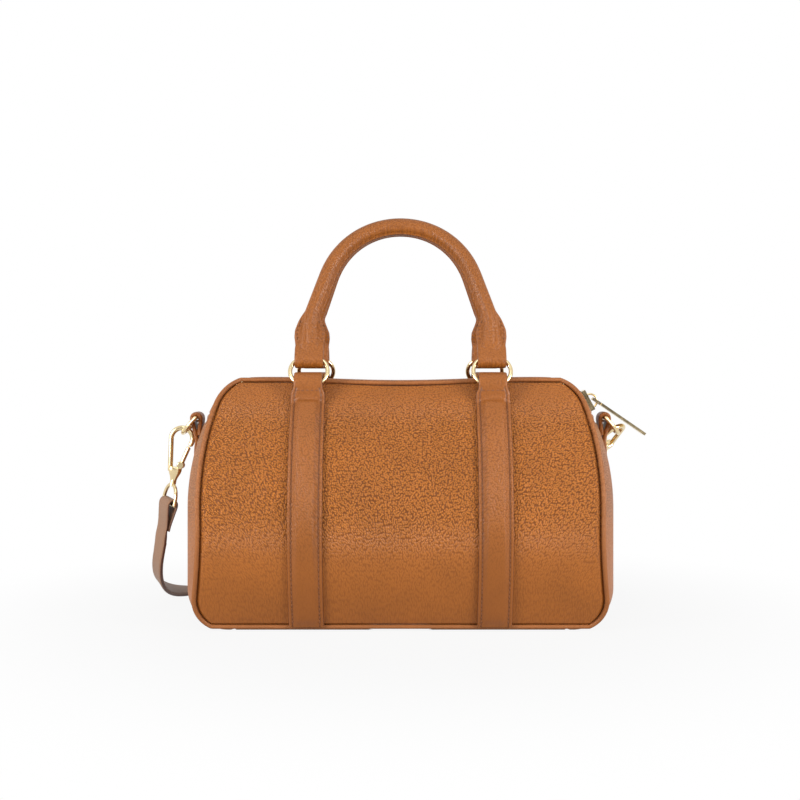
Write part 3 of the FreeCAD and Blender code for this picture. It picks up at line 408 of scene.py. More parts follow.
def solid_sheet(points, thick):
    """A grid of points, and the same grid moved in by the thickness, joined round the rim."""
    rows, columns = points.shape[:2]
    normal = unit(np.cross(np.gradient(points, axis=0), np.gradient(points, axis=1)))
    inner = points + normal * thick
    index = np.arange(rows * columns).reshape(rows, columns)
    rim = np.concatenate([index[0], index[1:, -1], index[-1, -2::-1], index[-2:0:-1, 0]])
    after = np.roll(rim, -1)
    count = rows * columns
    walls = np.stack([rim, after, after + count, rim + count], axis=1)
    quads = np.concatenate([grid_faces(index), grid_faces(index + count)[:, ::-1], walls])
    return np.concatenate([points.reshape(-1, 3), inner.reshape(-1, 3)]), quads


def loft(sections, closed=False):
    """Rings of points along a path, joined ring to ring, with a fan over each end of an open one."""
    rows, columns = sections.shape[:2]
    index = np.arange(rows * columns).reshape(rows, columns)
    quads = grid_faces(index, closed, True)
    points = sections.reshape(-1, 3)
    if closed:
        return points, quads
    ends = sections[[0, -1]].mean(axis=1)
    count = rows * columns
    first, last = index[0], index[-1]
    fan = np.stack([np.roll(first, -1), first, first * 0 + count, first * 0 + count], axis=1)
    far_fan = np.stack([last, np.roll(last, -1), last * 0 + count + 1, last * 0 + count + 1], axis=1)
    return np.concatenate([points, ends]), np.concatenate([quads, fan, far_fan])


def together(*meshes):
    """Several meshes as one."""
    starts = np.concatenate([[0], np.cumsum([len(points) for points, _ in meshes])])
    return (np.concatenate([points for points, _ in meshes]),
            np.concatenate([quads + start for (_, quads), start in zip(meshes, starts)]))


def outward(points, quads):
    """The faces turned so that a closed mesh has a positive volume."""
    a, b, c, d = (points[quads[:, k]] for k in range(4))
    middle = points.mean(axis=0)
    volume = np.einsum("ij,ij->i", a - middle, np.cross(b - middle, c - middle)).sum()
    volume += np.einsum("ij,ij->i", a - middle, np.cross(c - middle, d - middle)).sum()
    return quads if volume > 0 else quads[:, ::-1]


def place(name, meshes, material, body, nodes=(), edge=None):
    """Makes one object from closed meshes, with its material, body and the CAD nodes it stands for.

    A face that names a vertex twice in a row becomes a triangle.
    """
    turned = [(points, outward(points, quads)) for points, quads in meshes]
    points, quads = together(*turned)
    kept = np.ones(quads.shape, dtype=bool)
    kept[:, 1:] = quads[:, 1:] != quads[:, :-1]
    corners = quads[kept].astype(np.int32)
    starts = np.concatenate([[0], np.cumsum(kept.sum(axis=1))[:-1]]).astype(np.int32)
    mesh = bpy.data.meshes.new(name)
    mesh.vertices.add(len(points))
    mesh.vertices.foreach_set("co", (points * MM).astype(np.float32).ravel())
    mesh.loops.add(len(corners))
    mesh.loops.foreach_set("vertex_index", corners)
    mesh.polygons.add(len(starts))
    mesh.polygons.foreach_set("loop_start", starts)
    mesh.update(calc_edges=True)
    mesh.materials.append(material)
    mesh.shade_smooth()
    mesh.set_sharp_from_angle(angle=SHARP_ANGLE)
    if edge is not None:
        values = mesh.attributes.new("edge", "FLOAT", "POINT")
        filled = np.zeros(len(points), dtype=np.float32)
        filled[:len(edge)] = edge
        values.data.foreach_set("value", filled)
    thing = bpy.data.objects.new(name, mesh)
    bpy.context.collection.objects.link(thing)
    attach(thing, body)
    if nodes:
        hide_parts(*nodes)
    return thing


def mirrored(mesh, axis):
    """A mesh mirrored across the middle plane of that axis."""
    points, quads = mesh
    flip = np.ones(3)
    flip[axis] = -1.0
    return points * flip, quads


def place_ends(name, meshes, material, node_name="", edge=None):
    """A piece on the bag's right end, and its mirror image on the left."""
    for side in ("right", "left"):
        turned = meshes if side == "right" else [mirrored(mesh, 0) for mesh in meshes]
        place(side + name, turned, material, "bag", [side + node_name] if node_name else (), edge)


HALF_TOP = np.array([0.0, 0.16, 0.3, 0.42, 0.5, 0.56, 0.62, 0.67, 0.72, 0.75, 0.78, 0.81, 0.84, 0.89, 0.93,
                     0.96, 0.98, 0.993, 1.0])
RING_TOP = np.concatenate([-HALF_TOP[:0:-1], HALF_TOP])
RING_LOW = np.cos(np.linspace(0.0, np.pi, 13))[1:-1]
STITCH_LINE = 0.78
EDGE_POWER = 14
CUT_EDGE = 0.965


def strip(path, wide, half, thick, pad=0.0, sewn=0.0):
    """A leather strip along a path: flat below, with rounded edges above.

    Its middle rises by pad from just inside the stitch lines, and the stitch lines sink by sewn.
    """
    count = len(path)
    half, thick, pad, sewn = (np.broadcast_to(v, count)[:, None] for v in (half, thick, pad, sewn))
    wide = np.broadcast_to(wide, path.shape)
    up = unit(np.cross(wide, unit(np.gradient(path, axis=0))))
    across = np.abs(RING_TOP)
    round_top = np.sqrt(np.maximum(1.0 - across ** EDGE_POWER, 0.0))
    groove = np.exp(-((across - STITCH_LINE) / 0.04) ** 2)
    top = thick / 2 * round_top + pad * smooth_step((0.74 - across) / 0.3) - sewn * groove
    low = -thick / 2 * np.sqrt(1.0 - RING_LOW ** EDGE_POWER) * np.ones((count, 1))
    across = np.concatenate([RING_TOP, RING_LOW])
    height = np.concatenate([top, low], axis=1)
    sections = path[:, None] + wide[:, None] * (half * across)[..., None] + up[:, None] * height[..., None]
    return loft(sections)


def strip_edges(count, sewn=0.0):
    """Where a strip's vertices lie on its cut edges, which take the edge colour, or in its stitch lines,
    where the edge colour is painted shade in the stitch holes.
    """
    cut = smooth_step((np.abs(RING_TOP) - CUT_EDGE) / 0.03)
    groove = np.exp(-((np.abs(RING_TOP) - STITCH_LINE) / 0.035) ** 2)
    low = smooth_step((np.abs(RING_LOW) - CUT_EDGE) / 0.03)
    sewn = np.broadcast_to(sewn, count)[:, None]
    top = np.maximum(cut, sewn * groove)
    return np.concatenate([top, np.broadcast_to(low, (count, len(low)))], axis=1).ravel()


def tube(path, radius, side, sides=18, closed=False):
    """A round tube along a path. side is a direction that the path never runs along."""
    if closed:
        way = np.roll(path, -1, axis=0) - np.roll(path, 1, axis=0)
    else:
        way = np.gradient(path, axis=0)
    way = unit(way)
    first = unit(np.cross(np.broadcast_to(side, path.shape), way))
    second = np.cross(way, first)
    turn = full_turn(sides)
    radius = np.broadcast_to(radius, len(path))[:, None, None]
    ring = first[:, None] * np.cos(turn)[:, None] + second[:, None] * np.sin(turn)[:, None]
    return loft(path[:, None] + radius * ring, closed)


BAND_STITCH = 2.7, 1.9, 0.4
EDGE_STITCH = 2.6, 1.9, 0.36
TOOTH = 3.1, 0.72
TOOTH_OFFSET = 1.05
TOOTH_INSET = 1.3
TOOTH_STEP = 3.0
TEETH_EACH_WAY = 24
STITCH_ALONG = np.array([-0.5, -0.4, -0.15, 0.15, 0.4, 0.5])
STITCH_ROUND = np.array([0.25, 0.8, 1.0, 1.0, 0.8, 0.25])


def capsules(spot, way, lift, length, radius):
    """A short rounded bar at each spot, lying along way, its two ends sunk below lift."""
    way, lift = unit(way), unit(lift)
    turn = full_turn(6)
    shape = np.empty((6, 6, 3))
    shape[..., 0] = (STITCH_ALONG * length)[:, None]
    shape[..., 1] = radius * STITCH_ROUND[:, None] * np.cos(turn)
    shape[..., 2] = radius * (STITCH_ROUND[:, None] * np.sin(turn) + 1.2 * STITCH_ROUND[:, None] - 1.0)
    frames = np.stack([way, np.cross(lift, way), lift], axis=1)
    points = spot[:, None, None] + np.einsum("abk,nkj->nabj", shape, frames)
    one = grid_faces(np.arange(36).reshape(6, 6), False, True)
    ends = np.array([[0, 1, 2, 3], [0, 3, 4, 5], [33, 32, 31, 30], [35, 34, 33, 30]])
    one = np.concatenate([one, ends])
    quads = (one[None] + 36 * np.arange(len(spot))[:, None, None]).reshape(-1, 4)
    return points.reshape(-1, 3), quads


def stitches(path, up, pitch, length, radius):
    """A row of short threads along a path, one at each pitch of its run."""
    run = run_of(path)
    at = np.arange(pitch / 2, run[-1], pitch)
    spot, lift, way = (np.stack([np.interp(at, run, line[:, k]) for k in range(3)], axis=1)
                       for line in (path, up, np.gradient(path, axis=0)))
    return capsules(spot, way, lift, length, radius)


def teeth(line, up, sign):
    """One side's zip teeth: a bar across the line at each point, reaching past the middle of the zip."""
    return capsules(line + sign * TOOTH_OFFSET * Y, np.broadcast_to(Y, line.shape), up, *TOOTH)


# ---- the bag's own surfaces

def barrel(s, lift=0.0):
    """Depth and height of the section at run s from its widest line, lift outside it.

    Below the widest line it is a circle of LOWER_RADIUS, above it one of UPPER_RADIUS.
    """
    radius = np.where(s < 0, LOWER_RADIUS, UPPER_RADIUS)
    turn = s / radius
    depth = (radius + lift) * np.cos(turn) - radius + HALF_DEPTH
    return depth, WIDEST + (radius + lift) * np.sin(turn)


def half_depth(z):
    """Half the bag's depth at a height."""
    radius = np.where(z < WIDEST, LOWER_RADIUS, UPPER_RADIUS)
    return np.sqrt(np.maximum(radius ** 2 - (z - WIDEST) ** 2, 0.0)) - radius + HALF_DEPTH


def half_length(z):
    """Half the bag's length at a height, on its middle plane: base corner, upright, side arc, top corner."""
    base = BASE_FLAT + np.sqrt(np.maximum(BASE_CORNER ** 2 - (BASE_CORNER - z) ** 2, 0.0))
    side = SIDE_X + np.sqrt(SIDE_RADIUS ** 2 - (z - SIDE_Z) ** 2)
    top = CORNER_X + np.sqrt(np.maximum(CORNER_RADIUS ** 2 - (z - CORNER_Z) ** 2, 0.0))
    upper = np.where(z < CORNER_LOW, side, top)
    return np.where(z < BASE_CORNER, base, np.where(z < SIDE_Z, SIDE_X + SIDE_RADIUS, upper))


def sag(x):
    """How far the soft top hangs below flat between the handles: most in the middle, none at the corners."""
    return SAG * np.maximum(1 - (x / MOUTH) ** 2, 0.0) ** 2


def bulged(x, y):
    """The length x on the middle plane, drawn in at depth y by the ends' round plan."""
    share = np.clip(x / BASE_FLAT, 0.0, 1.0)
    return x - share * (x + PLAN_AXIS - np.sqrt((x + PLAN_AXIS) ** 2 - y ** 2))


def silhouette():
    """The right half of the middle outline from top to base, as run, x, z and outward direction."""
    corner = np.array([CORNER_X, CORNER_Z]) + CORNER_RADIUS * arc(90, 28, 80)
    rise = np.linspace(CORNER_LOW - 0.05, SIDE_Z, 80)
    side = np.stack([half_length(rise), rise], axis=1)
    base = np.array([BASE_FLAT, BASE_CORNER]) + BASE_CORNER * arc(0, -90, 60)
    line = np.concatenate([[[0.0, HEIGHT]], corner, side, base, [[0.0, 0.0]]])
    line = resampled(line, 0.5)
    way = unit(np.gradient(line, axis=0))
    return run_of(line), line[:, 0], line[:, 1], -way[:, 1], way[:, 0]


RUN, OUT_X, OUT_Z, WAY_X, WAY_Z = silhouette()


def run_at_height(z):
    """The run down the right side at a height."""
    beside = (OUT_Z < HEIGHT - 0.01) & (OUT_Z > 0.01)
    return float(np.interp(-z, -OUT_Z[beside], RUN[beside]))


def hoop(w, y, inset=0.0):
    """The band round the bag: run w from the top's middle down the right side, depth y, inset inward."""
    x = np.interp(w, RUN, OUT_X) - inset * np.interp(w, RUN, WAY_X)
    z = np.interp(w, RUN, OUT_Z) - inset * np.interp(w, RUN, WAY_Z)
    return np.stack([bulged(x, y), y + 0 * x, z], axis=-1)


def panel_points(sign, inset=0.0, low=PANEL_LOW, high=PANEL_HIGH, fine=201):
    """A front or rear face: the section along the bag, out to the round ends, tucked in at its seams, and how
    much painted shade darkens it along its seams.
    """
    u = np.sin(np.linspace(-1, 1, fine) * np.pi / 2)
    v = (np.sin(np.linspace(-1, 1, 141) * np.pi / 2) + 1) / 2
    u, v = np.meshgrid(u, v)
    high = high - SLOPE_RUN * sag(u * 120.0)
    s = low + (high - low) * v
    depth, z = barrel(s)
    end = bulged(half_length(z), depth) - inset
    from_seam = np.minimum(np.minimum((1 - np.abs(u)) * end, s - low), high - s)
    tuck = TUCK_DEEP * (1 - smooth_step(from_seam / TUCK_WIDE)) if inset == 0 else 0.0
    soft = SOFT_WAVE * np.sin(u * 5.2 + s * 0.031) * np.sin(s * 0.045 + 1.1) * smooth_step(from_seam / 25.0)
    depth, z = barrel(s, soft * (inset == 0) - tuck - inset)
    return np.stack([u * end, sign * depth, z], axis=-1), 0.8 * (1 - smooth_step((from_seam - 0.5) / 1.4))


for sign, name in FACES:
    # The faces take the edge colour along their seams: painted shade.
    points, painted_seam_shade = panel_points(sign)
    place(name + "_face", [solid_sheet(points, LEATHER * -sign)], BODY, "bag",
          [name + "_panel"], painted_seam_shade.ravel())

# Piping along the seam between each face and the band round the bag.
s = np.linspace(PANEL_LOW + 0.4, PANEL_HIGH, 400)
depth, z = barrel(s, -0.3)
ends = bulged(half_length(z), depth) + 0.3
right_seam = np.stack([ends, -depth, z], axis=1)
seam = np.concatenate([right_seam, (right_seam * [-1, 1, 1])[::-1], right_seam[:1]])
seam = resampled(seam, 1.2)[:-1]
drop = sag(seam[:, 0]) * (seam[:, 2] > HEIGHT / 2)
seam = seam - drop[:, None] * (Z + TOP_SLOPE * Y)
front_piping = tube(seam, PIPING_RADIUS, Y, 16, closed=True)
place("front_seam_piping", [front_piping], PIPING, "bag", ["front_piping"])
place("rear_seam_piping", [mirrored(front_piping, 1)], PIPING, "bag", ["rear_piping"])


def band_sheet(start, stop, low, high, inset=0.0, thick=LEATHER, steps=80, across=41, tuck=1.0):
    """Part of the band round the bag: run from start to stop, and depth from low to high.

    low and high are depths, or functions of height that give them.
    """
    w = np.linspace(start, stop, steps)
    z = np.interp(w, RUN, OUT_Z)
    low = low(z) if callable(low) else np.full(steps, low)
    high = high(z) if callable(high) else np.full(steps, high)
    share = (np.sin(np.linspace(-1, 1, across) * np.pi / 2) + 1) / 2
    y = low[:, None] + (high - low)[:, None] * share
    rim = np.minimum(np.minimum(w - start, stop - w)[:, None] / 3.0, 1.0)
    sink = tuck * (1 - smooth_step(rim)) + inset
    points = hoop(np.broadcast_to(w[:, None], y.shape), y, sink)
    return solid_sheet(points, -thick)


def seam_depth(sign, inset=1.0):
    """A function of height: the depth of the front or rear face there, less the inset."""
    return lambda z: sign * (half_depth(z) - inset)


base_run = run_at_height(0.5) + 9.0
end_run = run_at_height(END_TOP)
sill_run = run_at_height(SILL)
right_base = band_sheet(base_run, RUN[-1], seam_depth(-1), seam_depth(1), tuck=0.0)
place("base_skin", [right_base, mirrored(right_base, 0)], BODY, "bag", ["base_panel"])
right_end = band_sheet(end_run + 0.2, base_run - 0.2, seam_depth(-1), seam_depth(1), tuck=0.8, steps=160)
place_ends("_end_skin", [right_end], BODY, "_end_panel")

corner_sides = [band_sheet(MOUTH, sill_run, seam_depth(-1), -ZIP_HALF, tuck=0.0, across=25),
                band_sheet(MOUTH, sill_run, ZIP_HALF, seam_depth(1), tuck=0.0, across=25),
                band_sheet(sill_run, end_run - 0.2, seam_depth(-1), seam_depth(1), tuck=0.6)]
place_ends("_corner_skin", corner_sides, BODY, "_corner_facing")


def flap_mesh(sign, inner, outer, top, thick, roll):
    """A strip of the top between the corners, from the zip out to the seam, hanging by the sag."""
    x, share = np.meshgrid(np.linspace(-MOUTH + 0.2, MOUTH - 0.2, 121), np.linspace(0, 1, 31), indexing="ij")
    width = outer - inner + (TOP_SLOPE * sag(x) if roll else 0.0)
    y = inner + width * share
    edge = np.minimum(np.minimum(share, 1 - share) * width, MOUTH - np.abs(x))
    z = top - sag(x) - roll * (1 - smooth_step(edge / 1.6))
    return solid_sheet(np.stack([x, sign * y, z], axis=-1), -sign * thick)


for sign, name in FACES:
    place("zip_flap_skin_" + name, [flap_mesh(sign, ZIP_HALF, FLAP_EDGE, HEIGHT, LEATHER, 0.7)], BODY,
          "zip_flap_" + name, ["zip_facing_" + name])
    place("woven_tape_" + name, [flap_mesh(sign, 0.9, TAPE_HALF, HEIGHT - TAPE_INSET, TAPE_THICK, 0.0)], TAPE,
          "zip_flap_" + name, ["zip_tape_" + name])
    at = (np.arange(-TEETH_EACH_WAY, TEETH_EACH_WAY + 1) + sign / 4) * TOOTH_STEP
    line = np.stack([at, 0 * at, HEIGHT - TOOTH_INSET - sag(at)], axis=1)
    place("zip_chain_" + name, [teeth(line, np.broadcast_to(Z, line.shape), sign)], GOLD,
          "zip_flap_" + name, ["zip_teeth_" + name])
corner_at = np.arange(MOUTH + 2.0, sill_run, TOOTH_STEP / 2)
corner_line = hoop(corner_at, 0 * corner_at, TOOTH_INSET)
corner_up = hoop(corner_at, 0 * corner_at, TOOTH_INSET - 1.0) - corner_line
corner_chain = [teeth(corner_line[k::2], corner_up[k::2], sign) for k, sign in ((0, -1), (1, 1))]
place_ends("_corner_chain", corner_chain, GOLD, "_corner_teeth")
corner_tape = band_sheet(MOUTH + 0.4, sill_run + 2.0, -TAPE_HALF, TAPE_HALF, inset=TAPE_INSET,
                         thick=TAPE_THICK, tuck=0.0)
place_ends("_corner_woven_tape", [corner_tape], TAPE, "_corner_tape")

# Lining: the faces and the band round the bag again, further in.
lining = [solid_sheet(panel_points(sign, CLOTH_INSET, PANEL_LOW + 4, PANEL_HIGH - 6, 81)[0],
                      CLOTH_THICK * -sign) for sign in (-1, 1)]
wall = band_sheet(RUN[-1], MOUTH + 6.0, seam_depth(-1, 4.0), seam_depth(1, 4.0), inset=CLOTH_INSET,
                  thick=CLOTH_THICK, steps=200, tuck=0.0)
place("cloth_lining", lining + [wall, mirrored(wall, 0)], LINING, "bag", ["lining"])


# ---- bands, tabs and handles

def folded_end(start, axis, lean, radius, leave, tail):
    """A strip's line in a plane: from start up to the bar at axis, round it and down behind to the tail.

    Outward is lean degrees above level. The line meets the circle round the bar leave degrees before
    its outermost point and goes 5 degrees past its innermost one.
    """
    lean = np.radians(lean)
    along, out = np.array([-np.sin(lean), np.cos(lean)]), np.array([np.cos(lean), np.sin(lean)])
    turn = arc(90 + leave, -95, 40)
    circle = axis + radius * (turn[:, :1] * along + turn[:, 1:] * out)
    return np.concatenate([start, circle, [tail]])


def band_path():
    """Depth and height of a band's middle layer: up the face, out round the ring's bar and in behind it."""
    s = np.linspace(BAND_START, BAND_STOP, 260)
    depth, z = barrel(s, 1.2)
    tail = np.array(barrel(BAND_TAIL, 1.25))
    path = folded_end(np.stack([depth, z], axis=1), LOWER_AXIS, lean=46.0, radius=5.1, leave=46.6, tail=tail)
    return eased(resampled(path, 0.6), 4)


band_line = band_path()
band_run = run_of(band_line)
TOP_ROW = float(band_run[np.argmax(band_line[:, 1] > TOP_ROW_Z)])
band_half = np.interp(band_run, [0, TOP_ROW - 2.0, TOP_ROW + 1.5, band_run[-1]],
                      [BAND_HALF, BAND_HALF, FOLD_HALF, FOLD_HALF - 0.6])
band_pad = (0.6 + 1.6 * smooth_step((band_run - 10.0) / 60.0)) * smooth_step(band_run / 6.0)
band_pad = band_pad * (1 - smooth_step((band_run - TOP_ROW + 9.0) / 6.0))
band_thick = np.interp(band_run, [0, TOP_ROW, TOP_ROW + 10.0], [2.4, 2.4, 2.0])
band_sewn = 1 - smooth_step((band_run - TOP_ROW - 1.0) / 1.5)


def front_of(line, x):
    """A line of depth and height as points on the bag's front."""
    return np.stack([np.full(len(line), x), -line[:, 0], line[:, 1]], axis=1)


for front in (True, False):
    for side, side_name in ((-1, "left"), (1, "right")):
        path = front_of(band_line, side * BAND_X)
        band = strip(path, X, band_half, band_thick, band_pad, 0.35 * band_sewn)
        up = lift_of(path, X)
        rows = []
        on_face = (band_run > 2.0) & (band_run < TOP_ROW)
        for across in (-STITCH_LINE, STITCH_LINE):
            row = path + X * (band_half * across)[:, None] + up * 0.95
            rows.append(stitches(row[on_face], up[on_face], *BAND_STITCH))
        at = int(np.searchsorted(band_run, TOP_ROW))
        span = np.linspace(-STITCH_LINE, STITCH_LINE, 20)[:, None] * X * band_half[at]
        top_up = np.broadcast_to(up[at], span.shape)
        rows.append(stitches(path[at] + up[at] * 1.05 + span, top_up, *BAND_STITCH))
        name = ("front_" if front else "rear_") + side_name
        if not front:
            band, rows = mirrored(band, 1), [mirrored(row, 1) for row in rows]
        # The bands take the edge colour on their cut edges, edge paint with painted shade along the edge, and
        # in their stitch lines, painted shade in the stitch holes.
        place(name + "_sewn_band", [band], TRIM, "bag", [name + "_band"],
              strip_edges(len(path), 0.85 * band_sewn))
        place(name + "_band_stitches", rows, THREAD, "bag")


def handle_line():
    """A handle's line in its own plane: tab, bend, leaning arm and round crown, then mirrored."""
    half = np.concatenate([[[BAND_X, HANDLE_START], [BAND_X, TAB_TOP]],
                           np.array([BAND_X - TAB_BEND, TAB_TOP]) + TAB_BEND * arc(0, 20, 16),
                           np.array([0.0, CROWN_Z]) + CROWN_RADIUS * arc(20, 90, 60)])
    half[:, 1] += CROWN_RISE * smooth_step((half[:, 1] - 22.0) / 58.0)
    whole = np.concatenate([half, (half * [-1, 1])[-2::-1]])
    return eased(resampled(whole, 0.9), 3)


handle_flat = handle_line()
handle_run = run_of(handle_flat)
from_end = np.minimum(handle_run, handle_run[-1] - handle_run) + HANDLE_START


def handle_frame(sign):
    """The handle's origin on its ring bars, its way up and its outward direction, for one side."""
    up = np.array([0.0, -sign * np.sin(HANDLE_LEAN), np.cos(HANDLE_LEAN)])
    out = np.array([0.0, sign * np.cos(HANDLE_LEAN), np.sin(HANDLE_LEAN)])
    return np.array([0.0, sign * UPPER_AXIS[0], UPPER_AXIS[1]]), up, out


def handle_mesh(sign):
    """A rolled handle: a round tube that flattens into a tab with two stitched ears at each end."""
    origin, up, out = handle_frame(sign)
    way = unit(np.gradient(handle_flat, axis=0))
    across = np.stack([way[:, 1], -way[:, 0]], axis=1)
    half = np.interp(from_end, [4, 9, 14, 18, 23, 28, 30], [8.2, 8.2, 8.9, 8.7, 6.9, 4.8, 4.5])
    flat = np.interp(from_end, [4, 8, 12, 20, 28, 30], [8.0, 7.2, 5.8, 4.8, 4.55, 4.5])
    rise = np.interp(from_end, [4, 14, 26, 30], [3.6, 4.2, 4.5, 4.5])
    turn = full_turn(56)
    x = half[:, None] * np.cos(turn)
    roll = rise[:, None] * np.sqrt(np.maximum(1 - (x / flat[:, None]) ** 2, 0))
    ear = EAR_THICK * np.sqrt(np.maximum(1 - np.abs(np.cos(turn)) ** 10, 0)) * (half[:, None] > 4.6)
    height = np.maximum(roll, ear)
    fade = smooth_step((from_end - 5) / 6) * (1 - smooth_step((from_end - 30) / 30))
    pleats = np.exp(-((x - 2.0) / 0.75) ** 2) + 0.8 * np.exp(-((x + 2.3) / 0.75) ** 2)
    height = height - 0.75 * fade[:, None] * pleats
    seam = np.exp(-((np.abs(turn - np.pi)) / 0.11) ** 2) * smooth_step((from_end - 26) / 6)[:, None]
    x = x - 0.75 * seam
    flat_points = handle_flat[:, None] + across[:, None] * x[..., None]
    points = origin + flat_points[..., :1] * X + flat_points[..., 1:] * up
    points = points + (np.sign(np.sin(turn)) * height)[..., None] * out
    return loft(points)


def handle_loop(sign, side):
    """The folded strip that holds a handle's end to its ring."""
    origin, up, out = handle_frame(sign)
    line = np.concatenate([[[13.0, 0.2]], HANDLE_FOLD * arc(62, 298, 60), [[13.0, -0.2]]])
    line = eased(resampled(line, 0.5), 3)
    path = origin + side * BAND_X * X + line[:, :1] * up + line[:, 1:] * out
    thin = smooth_step(np.minimum(run_of(line), run_of(line)[::-1]) / 8.0)
    return strip(path, X, FOLD_HALF - 0.6 * (1 - thin), 0.7 + 1.3 * thin)


def ear_stitches(sign, side):
    """Stitches round the ears of a handle's end, front and back."""
    origin, up, out = handle_frame(sign)
    rows = []
    for face in (1, -1):
        for edge in (-1, 1):
            rise = np.linspace(9.0, 24.5, 30)
            half = np.interp(rise, [9, 14, 18, 23, 28], [7.9, 8.9, 8.7, 6.9, 4.8]) - 1.3
            path = origin + ((side * BAND_X + edge * half)[:, None] * X + rise[:, None] * up
                             + face * EAR_THICK * out)
            rows.append(stitches(path, np.broadcast_to(face * out, path.shape), *EDGE_STITCH))
    return rows


for sign, name in FACES:
    loops = [handle_loop(sign, side) for side in (-1, 1)]
    place(name + "_rolled_handle", [handle_mesh(sign)] + loops, TRIM, name + "_handle",
          [name + "_handle_cover"])
    origin, up, _ = handle_frame(sign)
    core = origin + handle_flat[20:-20, :1] * X + handle_flat[20:-20, 1:] * up
    place(name + "_handle_cord", [tube(core, CORE_RADIUS, Y)], CORD, name + "_handle",
          [name + "_handle_core"])
    place(name + "_handle_stitches", ear_stitches(sign, -1) + ear_stitches(sign, 1), THREAD,
          name + "_handle")

# Tabs that hold the D-rings to the bag's ends.
tab_z = np.linspace(RING_TAB_LOW, RING_TAB_HIGH, 36)
tab_lift = np.interp(tab_z, [RING_TAB_LOW, RING_TAB_HIGH - 2.0], [0.2, 1.0])
tab_skin = np.stack([half_length(tab_z) + tab_lift, tab_z], axis=1)
tab_bar = np.array([121.6, 117.6])
tab_tail = np.array([half_length(RING_TAB_TAIL) + 1.0, RING_TAB_TAIL])
tab_line = folded_end(tab_skin, tab_bar, lean=20.0, radius=2.75, leave=32.0, tail=tab_tail)
tab_line = eased(resampled(tab_line, 0.5), 4)
tab_path = np.stack([tab_line[:, 0], 0 * tab_line[:, 0], tab_line[:, 1]], axis=1)
right_tab = strip(tab_path, -Y, RING_TAB_HALF, np.interp(run_of(tab_path), [0.0, 8.0], [0.8, 2.4]))
tab_up = lift_of(tab_path, -Y)
tab_rows = []
tab_part = slice(3, 36)
for across in (-RING_TAB_ROW, RING_TAB_ROW):
    row = tab_path + across * Y + tab_up * 1.2
    tab_rows.append(stitches(row[tab_part], tab_up[tab_part], *EDGE_STITCH))
place_ends("_loop_tab", [right_tab], TRIM, "_ring_tab", 0.35 * strip_edges(len(tab_path)))
place_ends("_tab_stitches", tab_rows, THREAD)


# ---- strap

def hook_frame(origin, down, wire, side):
    """A hook's own directions: across it toward the bag, along its ring's wire, and up."""
    down, wire = unit(np.array(down)), unit(np.array(wire))
    facing = unit(-side * (wire - down * down.dot(wire)))
    return np.array(origin), unit(np.cross(facing, -down)), facing, -down


def turned_frame(base, degrees):
    """The frame turned about its own upward direction."""
    origin, across, facing, up = base
    c, s = np.cos(np.radians(degrees)), np.sin(np.radians(degrees))
    return origin, across * c + facing * s, facing * c - across * s, up


HOOKS = {
    "left": hook_frame((-130.9, 0.0, 105.1), (-0.2028, 0.0, -0.9792), (0.0, 1.0, 0.0), -1),
    "right": hook_frame((128.9, 6.9, 108.8), (-0.0653, 0.8829, -0.4649), (-0.4009, 0.8090, 0.4299), 1)}
EYES = {"left": turned_frame(HOOKS["left"], -58.0), "right": turned_frame(HOOKS["right"], 66.0)}
EYE_BAR = -39.3
FOLD_LOW = -61.3
STRAP_HALF = 7.5
STRAP_THICK = 2.6
HOOK_BOW, HOOK_WIRE, GATE_WIRE = 6.4, 1.5, 1.3
HOOK_BASE_TOP, HOOK_BASE_LONG, EYE_FOLD = -17.3, 8.4, 3.0
HOOK_FOOT, HOOK_PIN, HOOK_NOSE = np.array([[-3.0, -20.2], [2.54, -15.71], [5.1, -4.1]])


def strap_fold(eye):
    """The strap's doubled end: down one side of the eye's bar, round it and down the other, then together."""
    origin, across, facing, up = eye
    loop = np.array([0.0, EYE_BAR]) + EYE_FOLD * arc(0, 180, 30)
    line = np.concatenate([[[0.95, FOLD_LOW + 6.0], [0.95, FOLD_LOW + 9.0]], loop,
                           [[-0.75, FOLD_LOW + 9.0], [-0.75, FOLD_LOW + 5.5], [0.0, FOLD_LOW - 2.0]]])
    line = eased(resampled(line, 0.6), 4)
    path = origin + line[:, :1] * facing + line[:, 1:] * up
    run = run_of(line)
    thick = 1.5 + 1.0 * smooth_step((run - run[-1] + 9.0) / 6.0)
    return strip(path, across, STRAP_HALF - 0.04, thick), len(path)


for name in ("left", "right"):
    fold, count = strap_fold(EYES[name])
    place("strap_%s_fold" % name, [fold], STRAP, name + "_swivel",
          ["strap_%s_end" % name], strip_edges(count))


def in_hook(hook, x, y, z):
    """Points given in a hook's own frame: x toward the bag, y along its pin, z up."""
    origin, across, facing, up = hook
    return origin + x[..., None] * across + y[..., None] * facing + z[..., None] * up


def hook_wire(hook):
    """The hook's round wire: nose, bow and leaning leg, with a rounded nose."""
    line = resampled(np.concatenate([HOOK_BOW * arc(-34.0, 189.8, 90), [HOOK_FOOT]]), 0.5)
    path = in_hook(hook, line[:, 0], 0 * line[:, 0], line[:, 1])
    run = run_of(line)
    return tube(path, HOOK_WIRE * np.sqrt(np.clip((run + 0.15) / 1.2, 0.12, 1.0)), hook[2], 20)


